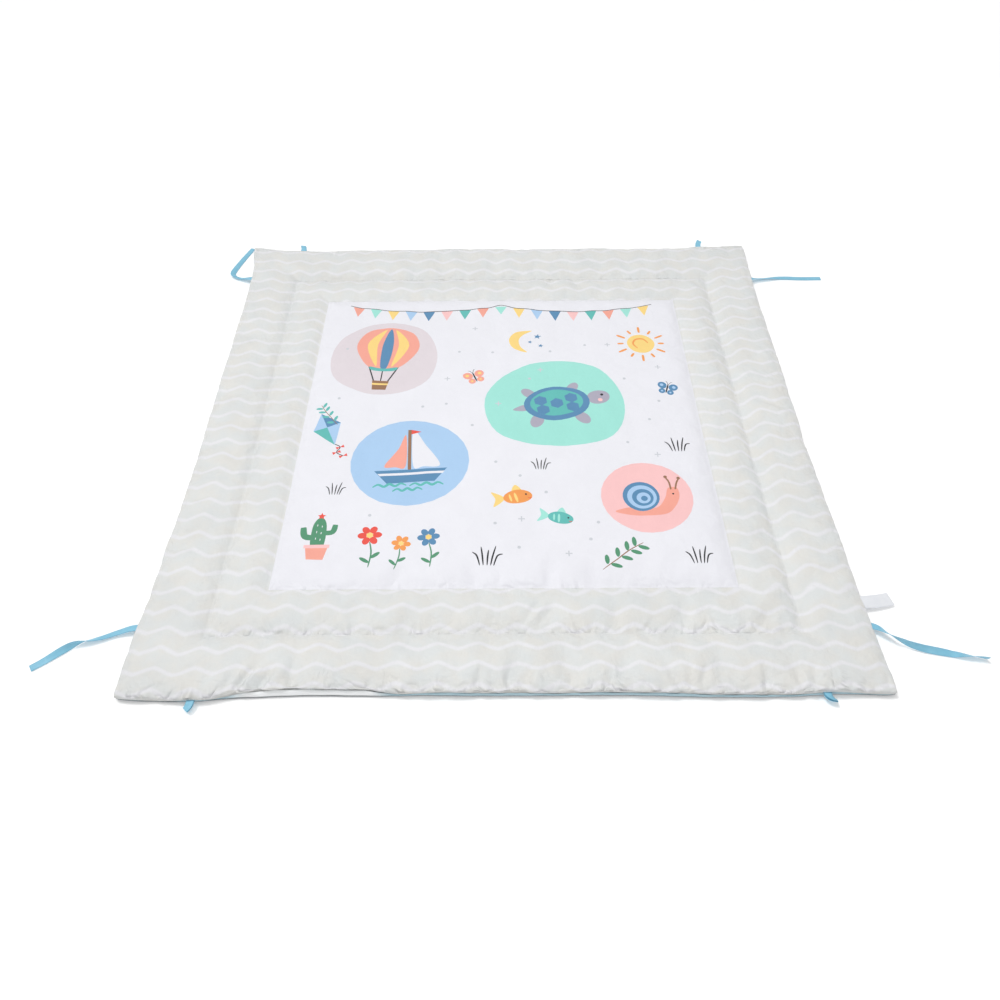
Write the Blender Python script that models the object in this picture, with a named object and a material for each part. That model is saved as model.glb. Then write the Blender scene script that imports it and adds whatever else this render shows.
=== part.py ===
"""Square padded baby play mat, lying flat, with ribbon ties, ribbon loops and a side label.

Units are metres and +Z is up. The floor is z = 0, and the origin is the middle of the
mat's underside. +Y points to the back edge and +X to the right-hand edge.
"""

import math

import bmesh
import bpy
import numpy as np
from mathutils import Matrix, Vector

# The square as it is cut, and the rounding of its corners
HALF = 0.600
CORNER_PULL = 0.010
CORNER_POWER = 40

# How far each edge is drawn in: place along the edge, distance inside the cut square
DRAWN_IN = {
    "front": [(-0.600, 0.000), (-0.540, -0.004), (-0.490, -0.005), (-0.400, 0.001), (-0.250, 0.002),
              (0.100, 0.004), (0.300, 0.001), (0.480, 0.002), (0.600, -0.001)],
    "back": [(-0.600, 0.003), (-0.500, 0.021), (-0.400, 0.026), (-0.300, 0.022), (-0.100, 0.019),
             (0.300, 0.019), (0.450, 0.017), (0.550, 0.010), (0.600, 0.004)],
    "left": [(-0.600, 0.001), (-0.500, 0.005), (-0.450, 0.009), (-0.350, 0.013), (-0.200, 0.018),
             (0.000, 0.018), (0.300, 0.017), (0.500, 0.014), (0.600, -0.004)],
    "right": [(-0.600, -0.003), (-0.500, 0.004), (-0.400, 0.008), (-0.250, 0.011), (-0.100, 0.014),
              (0.000, 0.014), (0.200, 0.009), (0.400, 0.006), (0.600, 0.002)],
}

# The two stitched squares, as distances from the middle, and how deep each draws the padding down
STITCHED = {
    "middle": {"left": 0.483, "right": 0.483, "front": 0.491, "back": 0.469, "dip": 0.56},
    "panel": {"left": 0.396, "right": 0.395, "front": 0.406, "back": 0.380, "dip": 0.42},
}
CHANNEL_REACH = 0.017            # how fast the padding rises beside a line of stitching

# Heights through the padding
CROWN = 0.025                    # full height between the lines of stitching
EDGE_DIP = 0.42                  # share of the crown that is lost at the rolled edge
EDGE_REACH = 0.015
CORNER_THIN = 0.34               # share of the height that is lost at the corner tips
CORNER_THIN_POWER = 10           # how closely the thin padding keeps to the tips

# The seam rises and falls a little round the edge: height, pace along x, pace along y, start
SEAM_WAVES = [
    (0.00090, 21, 16, 0.0),
    (0.00045, 37, -29, 1.0),
]
WAVE_DEPTH = 0.0050              # the wave dies out over this height above the flat underside

# Slow waves in the padding: x, y, reach along x, reach along y, rise
SWELLS = [
    (-0.20, 0.20, 0.16, 0.10, 0.0022),
    (0.24, 0.13, 0.12, 0.15, 0.0018),
    (0.05, -0.16, 0.20, 0.08, 0.0024),
    (-0.28, -0.22, 0.10, 0.12, -0.0020),
    (0.08, 0.30, 0.18, 0.05, -0.0016),
    (0.33, -0.26, 0.07, 0.12, 0.0020),
    (-0.44, 0.05, 0.03, 0.16, 0.0016),
    (0.44, 0.22, 0.03, 0.14, 0.0020),
    (0.53, -0.05, 0.04, 0.12, 0.0022),
    (-0.54, -0.28, 0.04, 0.10, 0.0022),
    (-0.15, -0.55, 0.14, 0.03, 0.0024),
    (0.27, -0.55, 0.12, 0.03, 0.0018),
    (0.10, 0.52, 0.20, 0.04, -0.0018),
    (-0.30, 0.53, 0.12, 0.04, 0.0020),
]

# Main creases and puckers: x, y, direction in degrees, half length, half width, rise
CREASES = [
    (-0.375, -0.566, 78, 0.034, 0.016, -0.0040),
    (-0.325, -0.560, 98, 0.040, 0.016, -0.0045),
    (0.020, -0.564, 84, 0.036, 0.016, -0.0042),
    (0.098, -0.560, 104, 0.040, 0.016, -0.0045),
    (0.185, -0.566, 80, 0.032, 0.015, -0.0038),
    (0.335, -0.562, 96, 0.036, 0.016, -0.0042),
    (-0.180, -0.388, 70, 0.028, 0.014, -0.0035),
    (-0.050, -0.386, 100, 0.026, 0.014, -0.0032),
    (0.075, -0.388, 78, 0.028, 0.014, -0.0034),
    (0.150, -0.388, 92, 0.026, 0.014, -0.0030),
    (0.062, -0.466, 38, 0.030, 0.013, -0.0038),
    (0.180, -0.464, 84, 0.024, 0.013, -0.0032),
    (0.290, -0.466, 72, 0.026, 0.013, -0.0034),
    (0.430, -0.466, 45, 0.036, 0.014, -0.0042),
    (0.115, 0.448, 80, 0.026, 0.014, -0.0036),
    (0.175, 0.446, 100, 0.026, 0.014, -0.0034),
    (-0.452, 0.452, 135, 0.036, 0.015, -0.0040),
    (-0.560, 0.560, 135, 0.036, 0.014, -0.0026),
    (0.560, 0.560, 45, 0.036, 0.014, -0.0026),
    (0.566, -0.566, 135, 0.034, 0.014, -0.0024),
]

# Lines of points in the top: beside the stitching, in the outer border, and their step in the panel
BESIDE_STITCHING = (-0.034, -0.013, 0.0, 0.013, 0.034)
BORDER_LINES = (0.532, 0.562, 0.581)
PANEL_STEP = 0.0285

# Rows of the rolled edge: inset from the outline, height above the floor
TOP_INSET = 0.009
EDGE_ROLL = [(0.0028, 0.0170), (0.0000, 0.0136), (0.0023, 0.0110)]
SEAM_RIDGE_FOOT = (0.0023, 0.0080)
BACKING_INSIDE = [(0.0020, 0.0077), (0.0016, 0.0050), (0.0050, 0.0023), (0.0130, 0.0015)]
BACKING_OUTSIDE = [(0.0005, 0.0077), (0.0000, 0.0046), (0.0022, 0.0015), (0.0085, 0.0000)]
CLOTH_GAP = 0.0003               # between two pieces that are sewn together
UNDER_INSET = 2 * CLOTH_GAP      # the mat's underside keeps inside the rising edge of the back cloth

# The ribbon that ties and loops are cut from, and where it leaves the seam
RIBBON_WIDTH = 0.012
RIBBON_THICK = 0.0010
SEAM_HEIGHT = 0.0087
ROOT_INSET = SEAM_RIDGE_FOOT[0] - CLOTH_GAP
ROOT_STRAIGHT = 0.004            # how far a tie runs straight out before it turns or twists
TIE_STEPS = 34

# Each tie: the edge, the place along it, then x, y, height under the ribbon, twist in degrees
TIES = {
    "tie_front_left": ("left", -0.473, [
        (-0.606, -0.4735, 0.0070, 8), (-0.629, -0.479, 0.0020, 14), (-0.650, -0.487, 0.0004, 24),
        (-0.668, -0.493, 0.0003, 45), (-0.682, -0.497, 0.0003, 78), (-0.697, -0.505, 0.0003, 122),
        (-0.714, -0.516, 0.0003, 158), (-0.731, -0.529, 0.0003, 174), (-0.748, -0.541, 0.0003, 180)]),
    "tie_front_right": ("right", -0.476, [
        (0.6060, -0.4815, 0.0085, -14), (0.6145, -0.4895, 0.0075, -38), (0.6240, -0.4975, 0.0070, -60),
        (0.6350, -0.5045, 0.0060, -82), (0.6490, -0.5115, 0.0042, -106), (0.6700, -0.5173, 0.0020, -130),
        (0.6924, -0.5210, 0.0006, -152), (0.7143, -0.5245, 0.0003, -178), (0.7345, -0.5290, 0.0003, -208),
        (0.7527, -0.5328, 0.0003, -230), (0.7660, -0.5356, 0.0003, -238)]),
    "tie_back_right": ("right", 0.468, [
        (0.6070, 0.4690, 0.0035, -32), (0.6283, 0.4729, 0.0006, -41), (0.6450, 0.4760, 0.0004, -36),
        (0.6600, 0.4785, 0.0008, -22), (0.6800, 0.4780, 0.0014, -8), (0.7000, 0.4768, 0.0008, -2),
        (0.7200, 0.4762, 0.0003, 0), (0.7420, 0.4764, 0.0003, 0), (0.7635, 0.4766, 0.0003, 0)]),
    "tie_back_left": ("left", 0.476, [
        (-0.600, 0.479, 0.0060, 10), (-0.615, 0.486, 0.0012, 20), (-0.629, 0.493, 0.0003, 26),
        (-0.6385, 0.504, 0.0003, 30), (-0.641, 0.520, 0.0003, 24), (-0.636, 0.545, 0.0003, 14),
        (-0.627, 0.572, 0.0003, 6), (-0.616, 0.597, 0.0003, 0), (-0.610, 0.609, 0.0003, 0)]),
}

# Each loop: edge, place along it, how far it reaches out, its lean, its tip's height,
# the turn of its tip in degrees, and how far it stands open
LOOPS = {
    "loop_front_left": ("front", -0.480, 0.016, -0.005, 0.0066, 12, 0.0003),
    "loop_front_right": ("front", 0.492, 0.014, 0.012, 0.0072, -50, 0.0011),
    "loop_back_right": ("back", 0.484, 0.031, 0.009, 0.0140, 8, 0.0003),
    "loop_back_left": ("back", -0.479, 0.026, -0.004, 0.0125, 20, 0.0011),
}
LOOP_HALF_ROOT = 0.0007
LOOP_HALF_TIP = 0.0009
LOOP_STEPS = 10
FOLD_STEPS = 5

# The label, a tab of satin sewn into the right edge: its place, width, reach and rise
LABEL_PLACE = -0.431
LABEL_WIDTH = 0.024
LABEL_REACH = 0.055
LABEL_THICK = 0.0010
LABEL_ROWS = [(0.10, 0.0006, 0), (0.35, 0.0030, 2), (0.70, 0.0042, 5), (1.00, 0.0030, 8)]
LABEL_LEAN = 0.006
LABEL_STEPS = 12

# Edges that turn more than this are shaded sharp
SHARP_ANGLE = math.radians(50)

# Finishes: colour and roughness
PRINTED_COTTON = ((0.80, 0.80, 0.78, 1.0), 0.85)
PALE_BLUE_COTTON = ((0.55, 0.74, 0.86, 1.0), 0.85)
BLUE_SATIN = ((0.28, 0.56, 0.74, 1.0), 0.55)
WHITE_SATIN = ((0.86, 0.86, 0.86, 1.0), 0.45)


def curve_value(rows, place):
    """Read a smooth curve through rows whose first column is the place along it."""
    places = [row[0] for row in rows]
    last = len(rows) - 2
    index = min(max(int(np.searchsorted(places, place)) - 1, 0), last)
    start, end = np.array(rows[index]), np.array(rows[index + 1])
    before = np.array(rows[max(index - 1, 0)])
    after = np.array(rows[min(index + 2, len(rows) - 1)])
    span = end[0] - start[0]
    t = min(max((place - start[0]) / span, 0.0), 1.0)
    slope_in = (end - before) / (end[0] - before[0]) * span
    slope_out = (after - start) / (after[0] - start[0]) * span
    value = ((2 * t ** 3 - 3 * t ** 2 + 1) * start + (t ** 3 - 2 * t ** 2 + t) * slope_in
             + (3 * t ** 2 - 2 * t ** 3) * end + (t ** 3 - t ** 2) * slope_out)
    return value[1:]


def drawn_in(side, place):
    """Distance that one edge lies inside the cut square, at a place along it."""
    return float(curve_value(DRAWN_IN[side], place)[0])


def outline_point(u, v):
    """Where a point of the cut square lies once the edges are drawn in and the corners rounded.

    The shift fades towards the middle with the cube of the distance from it.
    """
    pull = 1 - CORNER_PULL * (abs(u * v) / HALF ** 2) ** CORNER_POWER
    across = drawn_in("left" if u < 0 else "right", v) * u * u / HALF ** 3
    along = drawn_in("front" if v < 0 else "back", u) * v * v / HALF ** 3
    return u * (pull - across), v * (pull - along)


def distance_to_line(u, v, line):
    """Distance to the nearest side of a stitched square."""
    inside = min(u + line["left"], line["right"] - u, v + line["front"], line["back"] - v)
    return abs(inside)


def swell(u, v):
    """Slow waves in the padding."""
    rise = 0.0
    for x, y, reach_x, reach_y, height in SWELLS:
        rise += height * math.exp(-((u - x) / reach_x) ** 2 - ((v - y) / reach_y) ** 2)
    return rise


def crease(u, v):
    """Main creases and puckers beside the stitching and along the rolled edge."""
    rise = 0.0
    for x, y, degrees, half_length, half_width, height in CREASES:
        angle = math.radians(degrees)
        along = (u - x) * math.cos(angle) + (v - y) * math.sin(angle)
        across = (v - y) * math.cos(angle) - (u - x) * math.sin(angle)
        rise += height * math.exp(-(along / half_length) ** 2 - (across / half_width) ** 2)
    return rise


def corner_factor(u, v):
    """Share of the full height near a corner, where the padding thins out."""
    return 1 - CORNER_THIN * (abs(u * v) / HALF ** 2) ** CORNER_THIN_POWER


def top_height(u, v):
    """Height of the padded top over the floor."""
    share = 1.0
    for line in STITCHED.values():
        share *= 1 - line["dip"] * math.exp(-distance_to_line(u, v, line) / CHANNEL_REACH)
    edge = HALF - max(abs(u), abs(v))
    share *= 1 - EDGE_DIP * math.exp(-edge / EDGE_REACH)
    return (CROWN + swell(u, v) + crease(u, v)) * share * corner_factor(u, v)


def seam_wave(u, v):
    """How far the seam lies over or under its mean height at one place of the edge."""
    return sum(height * math.sin(pace_x * u + pace_y * v + start)
               for height, pace_x, pace_y, start in SEAM_WAVES)


def grid_lines(low_side, high_side):
    """Places of the top's lines of points along one direction, close beside the stitching."""
    reach = HALF - TOP_INSET
    places = [-reach, reach]
    places += [sign * place for place in BORDER_LINES for sign in (-1, 1)]
    for line in STITCHED.values():
        places += [-line[low_side] + step for step in BESIDE_STITCHING]
        places += [line[high_side] + step for step in BESIDE_STITCHING]
    first = -STITCHED["panel"][low_side] + BESIDE_STITCHING[-1]
    last = STITCHED["panel"][high_side] - BESIDE_STITCHING[-1]
    count = round((last - first) / PANEL_STEP)
    places += [first + (last - first) * index / count for index in range(1, count)]
    return sorted(places)


def square_ring(across, along):
    """The grid's outer points in order, counter-clockwise from the front left corner."""
    ring = [(u, along[0]) for u in across[:-1]]
    ring += [(across[-1], v) for v in along[:-1]]
    ring += [(u, along[-1]) for u in reversed(across[1:])]
    ring += [(across[0], v) for v in reversed(along[1:])]
    return ring


def rim_row(shape, ring, inset, height):
    """One row of points round the edge, at an inset from the outline and a height."""
    grow = (HALF - inset) / (HALF - TOP_INSET)
    row = []
    for u, v in ring:
        x, y = outline_point(u * grow, v * grow)
        over_seam = max(height - EDGE_ROLL[-1][1], 0.0)
        share_of_wave = max(height - BACKING_INSIDE[-1][1] - CLOTH_GAP, 0.0) / WAVE_DEPTH
        z = height - over_seam * (1 - corner_factor(u, v)) + seam_wave(u, v) * min(share_of_wave, 1.0)
        row.append(shape.verts.new((x, y, z)))
    return row


def bridge(shape, first, second):
    """Join two closed rows of points with four-sided faces."""
    count = len(first)
    for index in range(count):
        following = (index + 1) % count
        shape.faces.new((first[index], first[following], second[following], second[index]))


def finish_material(name, finish):
    """A plain material of one colour and roughness."""
    colour, roughness = finish
    material = bpy.data.materials.new(name)
    material.use_nodes = True
    shader = material.node_tree.nodes["Principled BSDF"]
    shader.inputs["Base Color"].default_value = colour
    shader.inputs["Roughness"].default_value = roughness
    shader.inputs["Metallic"].default_value = 0.0
    return material


def make_object(name, shape, finish):
    """Turn a bmesh into a named object with its faces out, smooth and with its own material."""
    bmesh.ops.recalc_face_normals(shape, faces=shape.faces)
    mesh = bpy.data.meshes.new(name)
    shape.to_mesh(mesh)
    shape.free()
    mesh.shade_smooth()
    mesh.set_sharp_from_angle(angle=SHARP_ANGLE)
    mesh.materials.append(finish_material(name + "_finish", finish))
    made = bpy.data.objects.new(name, mesh)
    bpy.context.scene.collection.objects.link(made)
    return made


def make_padded_mat(across, along):
    """The filled mat: quilted top, rolled edge, seam ridge and flat underside."""
    shape = bmesh.new()
    grid = []
    for v in along:
        row = []
        for u in across:
            x, y = outline_point(u, v)
            row.append(shape.verts.new((x, y, top_height(u, v))))
        grid.append(row)
    for lower, upper in zip(grid, grid[1:]):
        for index in range(len(lower) - 1):
            shape.faces.new((lower[index], lower[index + 1], upper[index + 1], upper[index]))

    ring = square_ring(across, along)
    vertex_at = {(u, v): vertex for line, v in zip(grid, along) for vertex, u in zip(line, across)}
    row = [vertex_at[place] for place in ring]
    under = [(inset + UNDER_INSET, height + CLOTH_GAP) for inset, height in BACKING_INSIDE[1:]]
    for inset, height in EDGE_ROLL + [SEAM_RIDGE_FOOT] + under:
        following = rim_row(shape, ring, inset, height)
        bridge(shape, row, following)
        row = following
    shape.faces.new(row)
    return make_object("padded_mat", shape, PRINTED_COTTON)


def make_backing(across, along):
    """The back cloth: flat on the floor, with its edge rising to the seam."""
    shape = bmesh.new()
    ring = square_ring(across, along)
    row = rim_row(shape, ring, *BACKING_INSIDE[-1])
    shape.faces.new(row)
    for inset, height in BACKING_INSIDE[-2::-1] + BACKING_OUTSIDE:
        following = rim_row(shape, ring, inset, height)
        bridge(shape, row, following)
        row = following
    shape.faces.new(row)
    return make_object("backing", shape, PALE_BLUE_COTTON)


def root_point(side, place, width):
    """Where a strip leaves the seam on one edge, the way straight out, and the way along the edge."""
    edge = HALF - ROOT_INSET
    sign = -1 if side in ("left", "front") else 1
    points = []
    for nominal in (place - width / 2, place, place + width / 2):
        cut = (sign * edge, nominal) if side in ("left", "right") else (nominal, sign * edge)
        points.append(Vector((*outline_point(*cut), SEAM_HEIGHT + seam_wave(*cut))))
    along_edge = (points[2] - points[0]).normalized()
    outward = along_edge.cross(Vector((0, 0, 1)))
    if outward.dot(points[1]) < 0:
        outward.negate()
    clearance = max((point - points[1]).dot(outward) for point in points)
    return points[1] + outward * clearance, outward, along_edge


def strip_object(name, centres, half_sides, thickness, finish):
    """A strip of cloth with square ends, swept along its middle line as one closed solid."""
    shape = bmesh.new()
    sections = []
    for index, centre in enumerate(centres):
        before = centres[max(index - 1, 0)]
        after = centres[min(index + 1, len(centres) - 1)]
        forward = (after - before).normalized()
        half_up = forward.cross(half_sides[index]).normalized() * (thickness / 2)
        corners = [centre - half_sides[index] - half_up, centre + half_sides[index] - half_up,
                   centre + half_sides[index] + half_up, centre - half_sides[index] + half_up]
        sections.append([shape.verts.new(corner) for corner in corners])
    for first, second in zip(sections, sections[1:]):
        bridge(shape, first, second)
    shape.faces.new(sections[0])
    shape.faces.new(sections[-1])
    return make_object(name, shape, finish)


def half_side(forward, twist, width):
    """Half of a strip's width as a vector: level across the way forward, then twisted about it."""
    level = Vector((forward.y, -forward.x, 0)).normalized() * (width / 2)
    return Matrix.Rotation(twist, 3, forward) @ level


def make_tie(name, side, place, route):
    """One ribbon tie, from its root in the seam along its route to its free end."""
    root, outward, _ = root_point(side, place, RIBBON_WIDTH)
    rows = [(0.0, *root, 0.0), (1.0, *(root + outward * ROOT_STRAIGHT), 0.0)]
    for index, (x, y, under, degrees) in enumerate(route):
        twist = math.radians(degrees)
        lift = abs(math.sin(twist)) * RIBBON_WIDTH / 2 + abs(math.cos(twist)) * RIBBON_THICK / 2
        rows.append((index + 2.0, x, y, under + lift, degrees))
    places = [(len(rows) - 1) * step / TIE_STEPS for step in range(TIE_STEPS + 1)]
    samples = [curve_value(rows, place_along) for place_along in places]
    centres = [Vector(sample[:3]) for sample in samples]
    half_sides = []
    for index, sample in enumerate(samples):
        before = centres[max(index - 1, 0)]
        after = centres[min(index + 1, len(centres) - 1)]
        forward = outward if places[index] < 1 else (after - before).normalized()
        half_sides.append(half_side(forward, math.radians(sample[3]), RIBBON_WIDTH))
    for centre, side_vector, sample in zip(centres, half_sides, samples):
        lowest = abs(side_vector.z) + RIBBON_THICK / 2 * abs(math.cos(math.radians(sample[3])))
        centre.z = max(centre.z, lowest + CLOTH_GAP)
    return strip_object(name, centres, half_sides, RIBBON_THICK, BLUE_SATIN)


def make_loop(name, side, place, reach, lean, tip_height, turn, opening):
    """One folded ribbon loop: out along its upper layer, round the fold and back to the seam."""
    root, outward, along_edge = root_point(side, place, RIBBON_WIDTH)
    root.z += LOOP_HALF_ROOT
    upper, lower = [], []
    for step in range(LOOP_STEPS + 1):
        t = step / LOOP_STEPS
        centre = root + outward * reach * t + along_edge * lean * t ** 3
        centre.z += (tip_height - root.z) * t ** 2
        forward = (outward * reach + along_edge * lean * 3 * t ** 2).normalized()
        across = half_side(forward, math.radians(turn) * t ** 2, RIBBON_WIDTH)
        up = across.cross(forward).normalized()
        half_gap = LOOP_HALF_ROOT + (LOOP_HALF_TIP - LOOP_HALF_ROOT) * t + opening * math.sin(math.pi * t) ** 2
        upper.append((centre + up * half_gap, across))
        lower.append((centre - up * half_gap, across))
    fold = []
    for step in range(1, FOLD_STEPS):
        angle = math.pi * step / FOLD_STEPS
        offset = up * math.cos(angle) + forward * math.sin(angle)
        fold.append((centre + offset * LOOP_HALF_TIP, across))
    centres, half_sides = zip(*(upper + fold + lower[::-1]))
    return strip_object(name, centres, half_sides, RIBBON_THICK, BLUE_SATIN)


def make_label():
    """The blank satin label: a tab that leaves the right edge seam and rises a little."""
    root, outward, along_edge = root_point("right", LABEL_PLACE, LABEL_WIDTH)
    rows = [(0.0, 0.0, 0.0)] + LABEL_ROWS
    centres, half_sides = [], []
    for step in range(LABEL_STEPS + 1):
        t = step / LABEL_STEPS
        rise, degrees = curve_value(rows, t)
        centre = root + outward * LABEL_REACH * t + along_edge * LABEL_LEAN * t ** 2
        centre.z += rise
        forward = (outward * LABEL_REACH + along_edge * LABEL_LEAN * 2 * t).normalized()
        centres.append(centre)
        half_sides.append(half_side(forward, math.radians(degrees), LABEL_WIDTH))
    return strip_object("side_label", centres, half_sides, LABEL_THICK, WHITE_SATIN)


def main():
    for old in list(bpy.data.objects):
        bpy.data.objects.remove(old, do_unlink=True)
    across = grid_lines("left", "right")
    along = grid_lines("front", "back")
    make_padded_mat(across, along)
    make_backing(across, along)
    for name, (side, place, route) in TIES.items():
        make_tie(name, side, place, route)
    for name, row in LOOPS.items():
        make_loop(name, *row)
    make_label()


main()
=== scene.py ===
# %% [markdown]
# A padded baby play mat, dressed in cells.
# The imported model gives the frame: every piece below sits where a solid of that frame sits.
# The first cell loads it.

# %% Load the frame
import math

import bmesh
import bpy
import numpy as np
from mathutils import Matrix, Vector, kdtree
from mathutils.geometry import delaunay_2d_cdt


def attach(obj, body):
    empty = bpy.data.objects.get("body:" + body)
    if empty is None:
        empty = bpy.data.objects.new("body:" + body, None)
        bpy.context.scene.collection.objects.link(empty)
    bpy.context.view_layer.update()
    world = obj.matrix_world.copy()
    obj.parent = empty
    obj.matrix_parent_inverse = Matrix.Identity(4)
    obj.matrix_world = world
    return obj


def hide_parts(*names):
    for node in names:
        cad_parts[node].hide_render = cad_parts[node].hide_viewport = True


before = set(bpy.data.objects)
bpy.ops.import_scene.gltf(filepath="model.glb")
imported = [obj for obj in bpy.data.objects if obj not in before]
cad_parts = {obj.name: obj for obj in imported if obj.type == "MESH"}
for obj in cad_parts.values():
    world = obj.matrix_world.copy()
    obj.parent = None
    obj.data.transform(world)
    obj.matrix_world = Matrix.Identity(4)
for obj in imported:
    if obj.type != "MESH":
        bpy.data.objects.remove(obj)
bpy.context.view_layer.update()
print("solids", sorted(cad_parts))

# %% [markdown]
# The camera comes first, because everything is compared through it.
# Its place was found by matching the corners of the square mat, so it is a place in the room
# and three turns. Blender's camera looks along its own -Z, so the matrix is built from the
# three directions right, up and back.

# %% Camera
CAMERA_PLACE = Vector((-0.0088, -1.1641, 1.1655))
CAMERA_YAW, CAMERA_PITCH, CAMERA_ROLL = math.radians(0.218), math.radians(50.4), math.radians(-0.13)
CAMERA_LENS_MM, CAMERA_SENSOR_MM = 29.51, 36.0


def camera_matrix():
    """The camera's turn and place, from its yaw, pitch and roll."""
    forward = Vector((math.sin(CAMERA_YAW) * math.cos(CAMERA_PITCH),
                      math.cos(CAMERA_YAW) * math.cos(CAMERA_PITCH), -math.sin(CAMERA_PITCH)))
    level = Vector((math.cos(CAMERA_YAW), -math.sin(CAMERA_YAW), 0.0))
    rise = level.cross(forward)
    right = level * math.cos(CAMERA_ROLL) + rise * math.sin(CAMERA_ROLL)
    up = rise * math.cos(CAMERA_ROLL) - level * math.sin(CAMERA_ROLL)
    turn = Matrix((right, up, -forward)).transposed().to_4x4()
    return Matrix.Translation(CAMERA_PLACE) @ turn


def in_scene(name, data):
    """An object made from its data and linked to the scene."""
    made = bpy.data.objects.new(name, data)
    bpy.context.scene.collection.objects.link(made)
    return made


lens = bpy.data.cameras.new("camera")
lens.lens, lens.sensor_width = CAMERA_LENS_MM, CAMERA_SENSOR_MM
camera = in_scene("camera", lens)
camera.matrix_world = camera_matrix()
bpy.context.scene.camera = camera
print("camera at", tuple(round(value, 3) for value in CAMERA_PLACE))

# %% [markdown]
# The mat is cut as a square of 1.2 m and sewn to a back cloth. Sewing and filling draw the
# edges in, by a different amount along each side. The cut square gives every point two cloth
# coordinates, u and v, and one function bends them to the real outline. The same two numbers
# later carry the printed chevrons, so the print follows the cloth.

# %% Cut square and sewn outline
def in_metres(rows, degrees=None):
    """Rows of lengths in mm, turned to metres, all but the column that holds degrees."""
    return [tuple(value if column == degrees else value / 1000 for column, value in enumerate(row))
            for row in rows]


HALF = 0.6
CORNER_PULL, CORNER_POWER = 0.005, 40
# In mm: places along a side, and how far the edge lies inside the cut square there
DRAWN_IN = {
    "front": in_metres([(-600, 0), (-540, -4), (-490, -5), (-400, 1), (-250, 2), (100, 4), (300, 1),
                        (480, 2), (600, -1)]),
    "back": in_metres([(-600, 3), (-500, 21), (-400, 26), (-300, 22), (-100, 19), (300, 19), (450, 17),
                       (550, 10), (600, 4)]),
    "left": in_metres([(-600, 1), (-500, 5), (-450, 9), (-350, 13), (-200, 18), (0, 18), (300, 17),
                       (500, 14), (600, -4)]),
    "right": in_metres([(-600, -3), (-500, 4), (-400, 8), (-250, 11), (-100, 14), (0, 14), (200, 12.5),
                        (400, 12.5), (500, 10.5), (600, 4.5)]),
}
# In mm: how far the front edge is rolled further under, from left to right
ROLLED_UNDER = in_metres([(-600, 1.5), (-565, 3.5), (-518, 5), (-457, 3.5), (-380, 5.8), (-303, 7.7),
                          (-242, 6.8), (-165, 5), (-118, 5), (-42, 3.5), (82, 3), (205, 4), (328, 2),
                          (435, 1), (528, 4.5), (600, 2.5)])
ROLLED_WIDTH = 0.055


def curve_values(rows, places):
    """Read a smooth curve through rows whose first column is the place along it."""
    table = np.array(rows, float)
    places = np.asarray(places, float).reshape(-1, 1)
    index = np.clip(np.searchsorted(table[:, 0], places[:, 0]) - 1, 0, len(table) - 2)
    start, end = table[index], table[index + 1]
    before, after = table[np.maximum(index - 1, 0)], table[np.minimum(index + 2, len(table) - 1)]
    span = end[:, :1] - start[:, :1]
    t = np.clip((places - start[:, :1]) / span, 0.0, 1.0)
    slope_in = (end - before) / (end[:, :1] - before[:, :1]) * span
    slope_out = (after - start) / (after[:, :1] - start[:, :1]) * span
    value = ((2 * t ** 3 - 3 * t ** 2 + 1) * start + (t ** 3 - 2 * t ** 2 + t) * slope_in
             + (3 * t ** 2 - 2 * t ** 3) * end + (t ** 3 - t ** 2) * slope_out)
    return value[:, 1:]


def drawn_in(side, places):
    """Distance that one edge lies inside the cut square, at places along it."""
    return curve_values(DRAWN_IN[side], np.ravel(places)).reshape(np.shape(places))


def sewn_outline(u, v):
    """Where points of the cut square lie once the edges are drawn in and the corners rounded."""
    pull = 1 - CORNER_PULL * (np.abs(u * v) / HALF ** 2) ** CORNER_POWER
    across = np.where(u < 0, drawn_in("left", v), drawn_in("right", v)) * u * u / HALF ** 3
    along = np.where(v < 0, drawn_in("front", u), drawn_in("back", u)) * v * v / HALF ** 3
    near = np.clip((-v - HALF + ROLLED_WIDTH) / ROLLED_WIDTH, 0.0, 1.0)
    under = curve_values(ROLLED_UNDER, np.ravel(u)).reshape(np.shape(u)) * near * near * (3 - 2 * near)
    return u * (pull - across), v * (pull - along) + under


print("front edge middle", sewn_outline(np.array([0.0]), np.array([-HALF])))

# %% [markdown]
# Two squares of stitching hold the padding down: one in the middle of the border, one round
# the printed panel. Between them the padding crowns, beside them it falls into a channel.
# Slow swells and the main creases are listed one by one, each with its own size, because the
# real mat is uneven in just this way.

# %% Padding heights
STITCHED = {
    "middle": {"left": 0.483, "right": 0.483, "front": 0.491, "back": 0.469, "dip": 0.48},
    "panel": {"left": 0.396, "right": 0.395, "front": 0.406, "back": 0.38, "dip": 0.36},
}
CHANNEL_REACH = 0.017
CROWN, EDGE_DIP, EDGE_REACH = 0.025, 0.42, 0.015
CORNER_THIN, CORNER_THIN_POWER = 0.42, 10
# Swells in mm: x, y, reach in x, reach in y, height
SWELLS = in_metres([
    (-200, 200, 160, 100, 2.2), (240, 130, 120, 150, 1.8), (50, -160, 200, 80, 2.4),
    (-280, -220, 100, 120, -2), (80, 300, 180, 50, -1.6), (330, -260, 70, 120, 2),
    (-440, 50, 30, 160, 1.6), (440, 220, 30, 140, 2), (530, -50, 40, 120, 2.2),
    (-540, -280, 40, 100, 2.2), (-150, -550, 140, 30, 2.4), (270, -550, 120, 30, 1.8),
    (100, 520, 200, 40, -1.8), (-300, 530, 120, 40, 2),
])
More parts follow.
